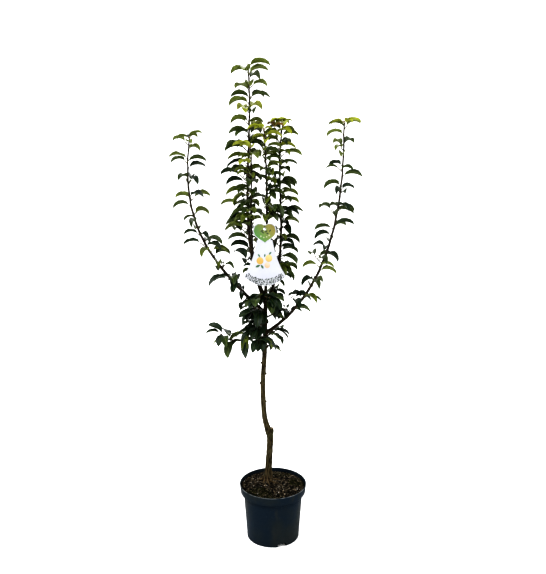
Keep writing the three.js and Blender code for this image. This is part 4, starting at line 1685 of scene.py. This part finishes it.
# %% [markdown]
# What makes soil look real is what lies on it: crumbs of peat, flat chips of bark, curled
# pale fibres, a few white feed grains, and moss in the damp places. Each kind is a tiny
# template that is scattered by seeded numbers and joined into one piece.

# %% Scattering
SPREAD = 107
TRUNK_FOOT = Vector(TRUNK_BENDS[0][:2])
FREE_FOOT = 18


def scatter(seed, count, near=None, reach=SPREAD):
    draw = seeded(seed)
    spots = []
    while len(spots) < count:
        angle = 2 * math.pi * draw()
        radius = reach * math.sqrt(draw())
        x, y = radius * math.cos(angle), radius * math.sin(angle)
        if near:
            x, y = x + near[0], y + near[1]
        if math.hypot(x, y) > SPREAD or (Vector((x, y)) - TRUNK_FOOT).length < FREE_FOOT:
            continue
        spots.append((x, y, draw))
    return spots


def place_copy(template, at, turn, tilt, size):
    turned = Matrix.Rotation(turn, 3, "Z") @ Matrix.Rotation(tilt, 3, "X") @ Matrix.Diagonal(size)
    return np.array(at) + template @ np.array(turned).T


print("things lie up to", SPREAD, "mm from the pot's axis")

# %% [markdown]
# A crumb is an icosphere whose corners are pushed in and out, so that no two sides are alike.
# A chip is a bevelled box that is sheared and curled. Both are scattered with a random turn
# and tilt, and most of them are small. How flat a copy is and how high it stands are shares
# of its own size.

# %% Peat crumbs and bark chips
CRUMBS = {"seed": 211, "count": 3000, "size": (0.8, 2.4), "flatness": (0.5, 0.9), "stand": 0.35}
CHIPS = {"seed": 223, "count": 320, "size": (1.4, 3.4), "flatness": (0.12, 0.24), "stand": 0.7}
STREWN = {"width": (0.5, 0.9), "tilt": (-0.5, 0.5)}
CRUMB_SHAPE = {"seed": 207, "radius": (0.78, 1.28)}
CHIP_SHAPE = {"edge": 0.3, "shear": 0.25, "curl": 0.2}

draw = seeded(CRUMB_SHAPE["seed"])
bm = bmesh.new()
bmesh.ops.create_icosphere(bm, subdivisions=1, radius=1)
for corner in bm.verts:
    corner.co *= mix(*CRUMB_SHAPE["radius"], draw())
crumb_corners, crumb_faces = corners_of(bm), faces_of(bm)
bm.free()

bm = bmesh.new()
bmesh.ops.create_cube(bm, size=2)
bmesh.ops.bevel(
    bm,
    geom=bm.edges[:],
    offset=CHIP_SHAPE["edge"],
    affect="EDGES",
    segments=1,
    profile=0.5,
    material=-1,
)
for corner in bm.verts:
    corner.co.x += CHIP_SHAPE["shear"] * corner.co.y
    corner.co.z += CHIP_SHAPE["curl"] * corner.co.x * corner.co.x
chip_corners, chip_faces = corners_of(bm), faces_of(bm)
bm.free()


def strewn(settings, template):
    copies = []
    area = (settings.get("near"), settings.get("reach", SPREAD))
    for x, y, draw in scatter(settings["seed"], settings["count"], *area):
        size = mix(*settings["size"], draw() ** 2)
        width = size * mix(*STREWN["width"], draw())
        height = size * mix(*settings["flatness"], draw())
        at = (x, y, soil_height(x, y) + settings["stand"] * height)
        turn = 2 * math.pi * draw()
        tilt = mix(*STREWN["tilt"], draw())
        copies.append(place_copy(template, at, turn, tilt, (size, width, height)))
    return copies


def soil_material(name, low, high, roughness=0.9, scale=160.0):
    material, tree, shader, here = new_material(name, roughness, gloss=0.1)
    mask = patch_mask(tree, here, scale=scale, detail=3.0, low=0.44, high=0.64)
    tree.links.new(mix_colors(tree, mask, low, high), shader.inputs["Base Color"])
    tree.links.new(grain_normal(tree, here, 800.0, 0.0006), shader.inputs["Normal"])
    return material


dark, pale = rgb(0.003, 0.0028, 0.0024), rgb(0.135, 0.108, 0.074)
crumb_stuff = soil_material("peat_crumb", dark, pale, scale=110.0)
mesh = joined("peat_crumbs", crumb_faces, strewn(CRUMBS, crumb_corners))
finish_piece("peat_crumbs", mesh, [crumb_stuff])
dark, pale = rgb(0.018, 0.014, 0.010), rgb(0.250, 0.210, 0.155)
chip_stuff = soil_material("bark_chip", dark, pale, scale=80.0)
mesh = joined("bark_chips", chip_faces, strewn(CHIPS, chip_corners))
finish_piece("bark_chips", mesh, [chip_stuff])

# %% [markdown]
# Peat is held together by pale root fibres, which lie curled on its top. One straight tube is
# the template, and each copy is bent in a flat arc and laid on the uneven soil.

# %% Fibres
FIBRES = {"seed": 227, "count": 380, "length": (4, 11), "radius": (0.3, 0.55), "bend": (-2.4, 2.4)}
FIBRE_LIE = {"arc": 0.12, "above": 0.9, "lift": 0.5, "flatness": 0.6, "margin": 1}

bm = tube(np.linspace((0, 0, 0), (0, 0, 1), 7), [0.4, 0.8, 1, 1, 1, 0.8, 0.4], 5)
fibre_template, fibre_faces = corners_of(bm), faces_of(bm)
bm.free()

fibres = []
for x, y, draw in scatter(FIBRES["seed"], FIBRES["count"]):
    length = mix(*FIBRES["length"], draw() ** 1.5)
    radius = mix(*FIBRES["radius"], draw())
    turn, bend = 2 * math.pi * draw(), mix(*FIBRES["bend"], draw())
    lift = mix(0, FIBRE_LIE["lift"], draw() ** 3)
    copy = np.empty_like(fibre_template)
    for i, (across, far, along) in enumerate(fibre_template):
        facing = turn + bend * (along - 0.5)
        middle = Vector((x, y)) + Vector((math.cos(turn), math.sin(turn))) * (along - 0.5) * length
        arc = bend * FIBRE_LIE["arc"] * length * (1 - 4 * (along - 0.5) ** 2)
        middle += Vector((-math.sin(turn), math.cos(turn))) * arc
        flat = middle + Vector((-math.sin(facing), math.cos(facing))) * across * radius
        height = soil_height(middle.x, middle.y) + FIBRE_LIE["above"] + lift * along * length
        copy[i] = (flat.x, flat.y, height + far * radius * FIBRE_LIE["flatness"])
    if np.linalg.norm(copy[:, :2], axis=1).max() < edge_radius - FIBRE_LIE["margin"]:
        fibres.append(copy)
fibre_stuff = soil_material("peat_fibre", rgb(0.045, 0.038, 0.028), rgb(0.340, 0.295, 0.220), scale=60.0)
finish_piece("peat_fibres", joined("peat_fibres", fibre_faces, fibres), [fibre_stuff], (), 180)

# %% [markdown]
# Three thicker rootlets run out from the foot of the trunk, first down its flare and then
# along the soil.

# %% Rootlets
ROOTLETS = [(-62, 24, 40), (-96, -18, 30), (-24, 30, 34)]
ROOTLET = {"steps": 12, "start": 9, "radii": (1.3, 0.5), "above": (6, 0.5), "down_by": 3, "sides": 7}

bm = bmesh.new()
shares = np.linspace(0, 1, ROOTLET["steps"] + 1)
for angle, bend, reach in ROOTLETS:
    turns = np.radians(angle + bend * shares)
    x = TRUNK_FOOT.x + (ROOTLET["start"] + reach * shares) * np.cos(turns)
    y = TRUNK_FOOT.y + (ROOTLET["start"] + reach * shares) * np.sin(turns)
    above = mix(*ROOTLET["above"], np.minimum(ROOTLET["down_by"] * shares, 1))
    height = np.array([soil_height(*spot) for spot in zip(x, y)]) + above
    radii = np.linspace(*ROOTLET["radii"], len(shares))
    add_part(bm, tube(np.column_stack([x, y, height]), radii, ROOTLET["sides"]))
bmesh.ops.recalc_face_normals(bm, faces=bm.faces)
finish_piece("rootlets", mesh_of("rootlets", bm), [fibre_stuff], (), 180)

# %% [markdown]
# Slow-release feed shows as a few pale round grains. Moss grows where water stands, in four
# patches of short tapering tufts.

# %% Feed grains and moss
GRAINS = {"seed": 229, "count": 40, "size": (0.8, 1.9), "flatness": (0.8, 1.0), "stand": 0.7}
MOSS = [
    {"seed": 233, "count": 1500, "near": (-48, -70), "reach": 46, "size": (0.8, 2.1)},
    {"seed": 239, "count": 900, "near": (82, 20), "reach": 30, "size": (0.8, 2.1)},
    {"seed": 241, "count": 700, "near": (30, 84), "reach": 34, "size": (0.8, 1.8)},
    {"seed": 251, "count": 500, "near": (10, -88), "reach": 24, "size": (0.7, 1.6)},
]
TUFT_SHAPE = {"flatness": (0.9, 1.7), "stand": 0.55}

bm = bmesh.new()
bmesh.ops.create_icosphere(bm, subdivisions=2, radius=1)
grain_corners, grain_faces = corners_of(bm), faces_of(bm)
bm.free()
grain_stuff = soil_material("feed_grain", rgb(0.42, 0.40, 0.36), rgb(0.72, 0.70, 0.66), roughness=0.6)
mesh = joined("feed_grains", grain_faces, strewn(GRAINS, grain_corners))
finish_piece("feed_grains", mesh, [grain_stuff], (), 180)

bm = bmesh.new()
bmesh.ops.create_cone(bm, cap_ends=True, segments=4, radius1=0.42, radius2=0.08, depth=2)
moss_corners, moss_faces = corners_of(bm), faces_of(bm)
bm.free()
tufts = []
for patch in MOSS:
    tufts += strewn({**patch, **TUFT_SHAPE}, moss_corners)
moss_stuff = soil_material("moss", rgb(0.012, 0.017, 0.005), rgb(0.055, 0.060, 0.018), scale=70.0)
finish_piece("moss", joined("moss", moss_faces, tufts), [moss_stuff], (), 60)

# %% [markdown]
# The card is thin printed plastic: a heart over a bell. Flat outlines with curves are what
# Blender's curve object is for. It fills the outline, gives it a thickness, and is then made
# a mesh, cut across by planes, and bowed a little, because no hanging card stays flat.

# %% Flat shapes
CARD_FRONT = CARD["back"] - CARD["thickness"]
BOW = {"forward": -2.6, "power": 1.5, "turn": 1.2}
CUT_STEP = 12
CUTS_ACROSS = range(-60, 61, CUT_STEP)
CUTS_UP = range(910, 1100, CUT_STEP)


def flat_shape(name, loops, thickness, resolution=16):
    curve = bpy.data.curves.new(name, "CURVE")
    curve.dimensions = "2D"
    curve.fill_mode = "BOTH"
    curve.extrude = thickness / 2
    curve.resolution_u = resolution
    for loop in loops:
        spline = curve.splines.new("BEZIER")
        spline.bezier_points.add(len(loop) - 1)
        for point, (left, at, right) in zip(spline.bezier_points, loop):
            point.handle_left = (*left, 0)
            point.co = (*at, 0)
            point.handle_right = (*right, 0)
        spline.use_cyclic_u = True
    flat = plain_mesh(in_scene(name, curve))
    bm = bmesh.new()
    bm.from_mesh(flat)
    bpy.data.meshes.remove(flat)
    bmesh.ops.remove_doubles(bm, verts=bm.verts, dist=0.001)
    return bm


def bow(x, z):
    aside = (x - CARD["x"]) / BELL["hem"][0]
    down = (CARD["notch"] - z) / (CARD["notch"] - BELL["foot"])
    low = max(down, 0)
    return BOW["forward"] * (1 - aside * aside) * low ** BOW["power"] + BOW["turn"] * aside * low


def hang_flat(bm, y):
    cuts = [((x, 0, 0), (1, 0, 0)) for x in CUTS_ACROSS]
    cuts += [((0, z, 0), (0, 1, 0)) for z in CUTS_UP]
    for at, way in cuts:
        geom = bm.verts[:] + bm.edges[:] + bm.faces[:]
        bmesh.ops.bisect_plane(bm, geom=geom, plane_co=at, plane_no=way)
    for corner in bm.verts:
        x, z, thick = corner.co
        corner.co = (x + CARD["x"], y - thick + bow(x + CARD["x"], z), z)
    bmesh.ops.recalc_face_normals(bm, faces=bm.faces)
    return bm


print("planes that cut a flat shape:", len(CUTS_ACROSS) + len(CUTS_UP))

# %% [markdown]
# An outline is a closed loop of points, each with a handle before and after it. The heart and
# the bell have four points each, and so has a circle.

# %% Card outlines
HEART_MIDDLE = 1074
ROUND_PULL = 0.5523


def heart_loop(size=1.0):
    half = HEART["half_width"] * size
    inner = half / 4
    heights = [*(HEART[key] for key in ("lobe", "widest", "waist", "chin", "point")), CARD["notch"]]
    scaled = [HEART_MIDDLE + (height - HEART_MIDDLE) * size for height in heights]
    lobe, widest, waist, chin, point, notch = scaled
    return [
        ((-inner, lobe), (0, notch), (inner, lobe)),
        ((half, lobe), (half, widest), (half, waist)),
        ((inner, chin), (0, point), (-inner, chin)),
        ((-half, waist), (-half, widest), (-half, lobe)),
    ]


def round_loop(x, z, radius, squash=1.0):
    pull = ROUND_PULL * radius
    return [
        ((x + radius, z - pull), (x + radius, z), (x + radius, z + pull)),
        ((x + pull, z + radius * squash), (x, z + radius * squash), (x - pull, z + radius * squash)),
        ((x - radius, z + pull), (x - radius, z), (x - radius, z - pull)),
        ((x - pull, z - radius), (x, z - radius), (x + pull, z - radius)),
    ]


shoulder, skirt, hem = BELL["shoulder"], BELL["flare"], BELL["hem"]
sweep = (hem[0] / 3, mix(hem[1], 2 * BELL["foot"] - hem[1], 2 / 3))
neck, neck_top = BELL["neck"], BELL["top"]
bell_loop = [
    ((-neck / 2, neck_top), (-neck, neck_top), (-shoulder[0], shoulder[1])),
    ((-skirt[0], skirt[1]), (-hem[0], hem[1]), (-sweep[0], sweep[1])),
    (sweep, hem, skirt),
    (shoulder, (neck, neck_top), (neck / 2, neck_top)),
]
print("card outline points:", len(bell_loop) + len(heart_loop()))

# %% [markdown]
# The heart and the bell are one sheet on the real card. Here each is its own plate, and they
# lie together at the neck. The plastic is white with a cool cast. Under a strong light it
# needs a base colour well below white, or its print would be washed out.

# %% Card plates
hole_loop = round_loop(0, CARD["hole"], CARD["hole_radius"])
card_bm = bmesh.new()
for loops in ([heart_loop(), hole_loop], [bell_loop]):
    plate = flat_shape("plate", loops, CARD["thickness"])
    add_part(card_bm, hang_flat(plate, (CARD["back"] + CARD_FRONT) / 2))
card_stuff, tree, shader, here = new_material("card_plastic", 0.45)
mask = patch_mask(tree, here, scale=18.0, detail=3.0, low=0.35, high=0.65)
white = mix_colors(tree, mask, rgb(0.350, 0.358, 0.395), rgb(0.372, 0.378, 0.405))
tree.links.new(white, shader.inputs["Base Color"])
tree.links.new(grain_normal(tree, here, 500.0, 0.00005), shader.inputs["Normal"])
finish_piece("card", mesh_of("card", card_bm), [card_stuff], ["tag_card"], 40)

# %% [markdown]
# The print has a few inks. Each is its own material, with a blend of two colours along one
# direction, round a height on the card and over a span, both in metres.

# %% Inks
INK_BLENDS = {
    "heart_blend": ((0.07, 0.17, 0.045), (0.20, 0.17, 0.04), (0.8, 0, 0.6), 1.08, 0.07),
    "fruit": ((0.36, 0.24, 0.065), (0.41, 0.35, 0.17), (0.3, 0, 0.9), 0.992, 0.03),
    "pale_fruit": ((0.38, 0.27, 0.16), (0.41, 0.35, 0.28), (0.3, 0, 0.9), 0.972, 0.02),
    "sprig": ((0.030, 0.050, 0.018), (0.045, 0.060, 0.020), (0, 0, 1), 1.08, 0.05),
    "print_leaf": ((0.045, 0.10, 0.05), (0.06, 0.13, 0.085), (0, 0, 1), 1.0, 0.06),
    "marks": ((0.018, 0.026, 0.020), (0.035, 0.042, 0.038), (1, 0, 0), 0, 0.1),
    "pale_marks": ((0.10, 0.12, 0.105), (0.14, 0.16, 0.145), (1, 0, 0), 0, 0.1),
    "pale_dot": ((0.30, 0.32, 0.20), (0.34, 0.34, 0.24), (0, 0, 1), 1.08, 0.05),
}


def ink(name, low, high, direction, height, span):
    material, tree, shader, here = new_material(name, 0.45)
    place = add_node(tree, "ShaderNodeVectorMath", {0: here, 1: direction}, operation="DOT_PRODUCT")
    middle = direction[0] * CARD["x"] * MM + direction[2] * height
    ramp = add_node(
        tree,
        "ShaderNodeMapRange",
        {
            "Value": place.outputs["Value"],
            "From Min": middle - span / 2,
            "From Max": middle + span / 2,
        },
        interpolation_type="SMOOTHSTEP",
    )
    blend = mix_colors(tree, ramp.outputs["Result"], rgb(*low), rgb(*high))
    tree.links.new(blend, shader.inputs["Base Color"])
    return material


INKS = {name: ink(name, *blend) for name, blend in INK_BLENDS.items()}
print("inks:", ", ".join(INKS))

# %% [markdown]
# The design is plain and has no words: a heart in a blend of green and ochre with a sprig on
# it, three round fruit with leaves, and a hem of small scattered marks, darker to its ends.

# %% Print shapes
HEART_PRINT = {"size": 0.93, "hole_margin": 1.5}
HEART_DOTS = [(14, 1066, 2.6), (6, 1061, 2.2), (-3, 1059, 2.2), (-12, 1063, 2.6)]
HEART_SPRIG = [
    (-14, 1078, 11, 20),
    (-10, 1078, 10, -35),
    (0, 1075, 11, 35),
    (4, 1074, 10, -25),
    (14, 1076, 10, 60),
]
FRUIT = [("fruit", -15, 984, 11), ("fruit", 13, 992, 11), ("pale_fruit", 8, 970, 9)]
FRUIT_TALLNESS = 1.14
PRINT_LEAF = {"half_width": 0.3, "belly": 0.4, "ahead": 0.3}
FRUIT_LEAVES = [
    (-15, 996, 12, 120),
    (13, 1004, 12, 50),
    (-14, 971, 17, 205),
    (-12, 972, 15, -60),
    (-1, 996, 11, 80),
]
HEM = {
    "seed": 37,
    "rows": (4.0, 9.5, 15.0, 20.5),
    "marks": 25,
    "inset": 3,
    "dots": 0.45,
    "dot": (1.3, 2.6),
    "leaf": (5.0, 8.0),
    "leaf_turn": (50, 130),
    "leaf_drop": 3,
    "dark": (0.4, 1.0),
}


def leaf_loop(x, z, length, turn):
    way = Vector((math.cos(turn), math.sin(turn)))
    side = Vector((-way.y, way.x)) * length * PRINT_LEAF["half_width"]
    start, end = Vector((x, z)), Vector((x, z)) + way * length
    belly = start + way * length * PRINT_LEAF["belly"]
    low, high = belly - side, belly + side
    ahead = way * length * PRINT_LEAF["ahead"]
    return [(high, start, low), (low + ahead, end, high + ahead)]


wide_hole = round_loop(0, CARD["hole"], CARD["hole_radius"] + HEART_PRINT["hole_margin"])
shapes = [("heart_blend", [heart_loop(HEART_PRINT["size"]), wide_hole])]
shapes.append(("pale_dot", [round_loop(*dot) for dot in HEART_DOTS]))
for kind, x, z, radius in FRUIT:
    shapes.append((kind, [round_loop(x, z, radius, FRUIT_TALLNESS)]))
for kind, drawn_leaves in (("sprig", HEART_SPRIG), ("print_leaf", FRUIT_LEAVES)):
    for x, z, length, turn in drawn_leaves:
        shapes.append((kind, [leaf_loop(x, z, length, math.radians(turn))]))
draw = seeded(HEM["seed"])
for row in HEM["rows"]:
    for i in range(HEM["marks"]):
        share = -1 + 2 * (i + 0.5) / HEM["marks"]
        x = share * (hem[0] - HEM["inset"] - 0.5 * row) + mix(-1, 1, draw())
        z = BELL["foot"] + (hem[1] - BELL["foot"]) * (x / hem[0]) ** 2 + row + mix(-1, 1, draw())
        kind = "marks" if draw() < mix(*HEM["dark"], abs(share)) else "pale_marks"
        if draw() < HEM["dots"]:
            loop = round_loop(x, z, mix(*HEM["dot"], draw()))
        else:
            length = mix(*HEM["leaf"], draw())
            turn = math.radians(mix(*HEM["leaf_turn"], draw()))
            loop = leaf_loop(x, z - HEM["leaf_drop"], length, turn)
        shapes.append((kind, [loop]))
print("shapes in the print:", len(shapes))

# %% [markdown]
# Where two inks overlap, they would flicker if they lay at one depth. So each ink has a layer,
# and every layer lies on top of the one before it.

# %% Card print
PRINT_LIFT = 0.12
PRINT_LAYERS = {"sprig": 2, "pale_dot": 2, "marks": 2, "fruit": 2, "pale_fruit": 3, "print_leaf": 4}

print_bm = bmesh.new()
for color, loops in shapes:
    layer = PRINT_LIFT * (PRINT_LAYERS.get(color, 1) - 0.5)
    part = hang_flat(flat_shape("shape", loops, PRINT_LIFT, 4), CARD_FRONT - layer)
    index = list(INKS).index(color)
    for face in part.faces:
        face.material_index = index
    add_part(print_bm, part)
finish_piece("card_print", mesh_of("card_print", print_bm), list(INKS.values()), (), 40)

# %% [markdown]
# The tie is a loop of thin dark plastic: round the middle leader, over the notch of the
# card, and back through its hole. It is a closed curve with a round bevel, made a mesh.

# %% Tie
TIE_STATIONS = 96
HALF_TURN_STEPS = 4

leader = next(mass["stem"] for mass in masses if mass["name"] == "middle_leader")
centre = at_height(leader, TIE["height"])
above = next(radius for at, radius in zip(leader["at"], leader["radius"]) if at[2] > TIE["height"])
girth = above + TIE["radius"] + 3 * GAP
seat = CARD["hole"] + CARD["hole_radius"] - TIE["radius"] - 2 * GAP
route = [
    (CARD["x"] - TIE["aside"], CARD["back"] + TIE["reach"], CARD["notch"] + 1.5 * TIE["rise"]),
    (CARD["x"], CARD_FRONT, CARD["notch"] + TIE["rise"]),
    (CARD["x"], CARD_FRONT - TIE["bulge"], mix(seat, CARD["notch"], 0.5)),
    (CARD["x"], CARD_FRONT + CARD["thickness"] / 2, seat),
    (CARD["x"] + TIE["aside"], CARD["back"] + TIE["reach"], seat + TIE["rise"]),
]
for step in range(HALF_TURN_STEPS + 1):
    turn = math.pi * step / HALF_TURN_STEPS
    height = TIE["height"] - TIE["tilt"] * (1 - step / HALF_TURN_STEPS)
    route.append((centre[0] + girth * math.cos(turn), centre[1] + girth * math.sin(turn), height))
loop = spaced(smooth_curve(route, closed=True), TIE_STATIONS)[:-1]

tie_curve = bpy.data.curves.new("tie", "CURVE")
tie_curve.dimensions = "3D"
tie_curve.bevel_depth = TIE["radius"]
tie_curve.bevel_resolution = 4
spline = tie_curve.splines.new("POLY")
spline.points.add(len(loop) - 1)
for point, at in zip(spline.points, loop):
    point.co = (*at, 1)
spline.use_cyclic_u = True
bm = bmesh.new()
bm.from_mesh(plain_mesh(in_scene("tie_curve", tie_curve)))
bmesh.ops.recalc_face_normals(bm, faces=bm.faces)
tie_stuff, tree, shader, here = new_material("tie_plastic", 0.45)
mask = patch_mask(tree, here, scale=90.0, detail=2.0, low=0.4, high=0.6)
dark_green = mix_colors(tree, mask, rgb(0.012, 0.016, 0.014), rgb(0.024, 0.030, 0.026))
tree.links.new(dark_green, shader.inputs["Base Color"])
tree.links.new(grain_normal(tree, here, 900.0, 0.0002), shader.inputs["Normal"])
finish_piece("tie", mesh_of("tie", bm), [tie_stuff], ["tag_tie"], 180)

# %% [markdown]
# The floor is wide and plain, so that its edge is far behind the tree from every side.

# %% Floor
FLOOR_RADIUS = 60

bm = bmesh.new()
bmesh.ops.create_circle(bm, cap_ends=True, segments=96, radius=FLOOR_RADIUS)
floor_mesh = bpy.data.meshes.new("floor")
bm.to_mesh(floor_mesh)
bm.free()
floor = in_scene("floor", floor_mesh)
paper, tree, shader, here = new_material("floor_paper", 0.9)
shader.inputs["Base Color"].default_value = rgb(0.96, 0.96, 0.96)
floor_mesh.materials.append(paper)
print("floor radius in m:", FLOOR_RADIUS)
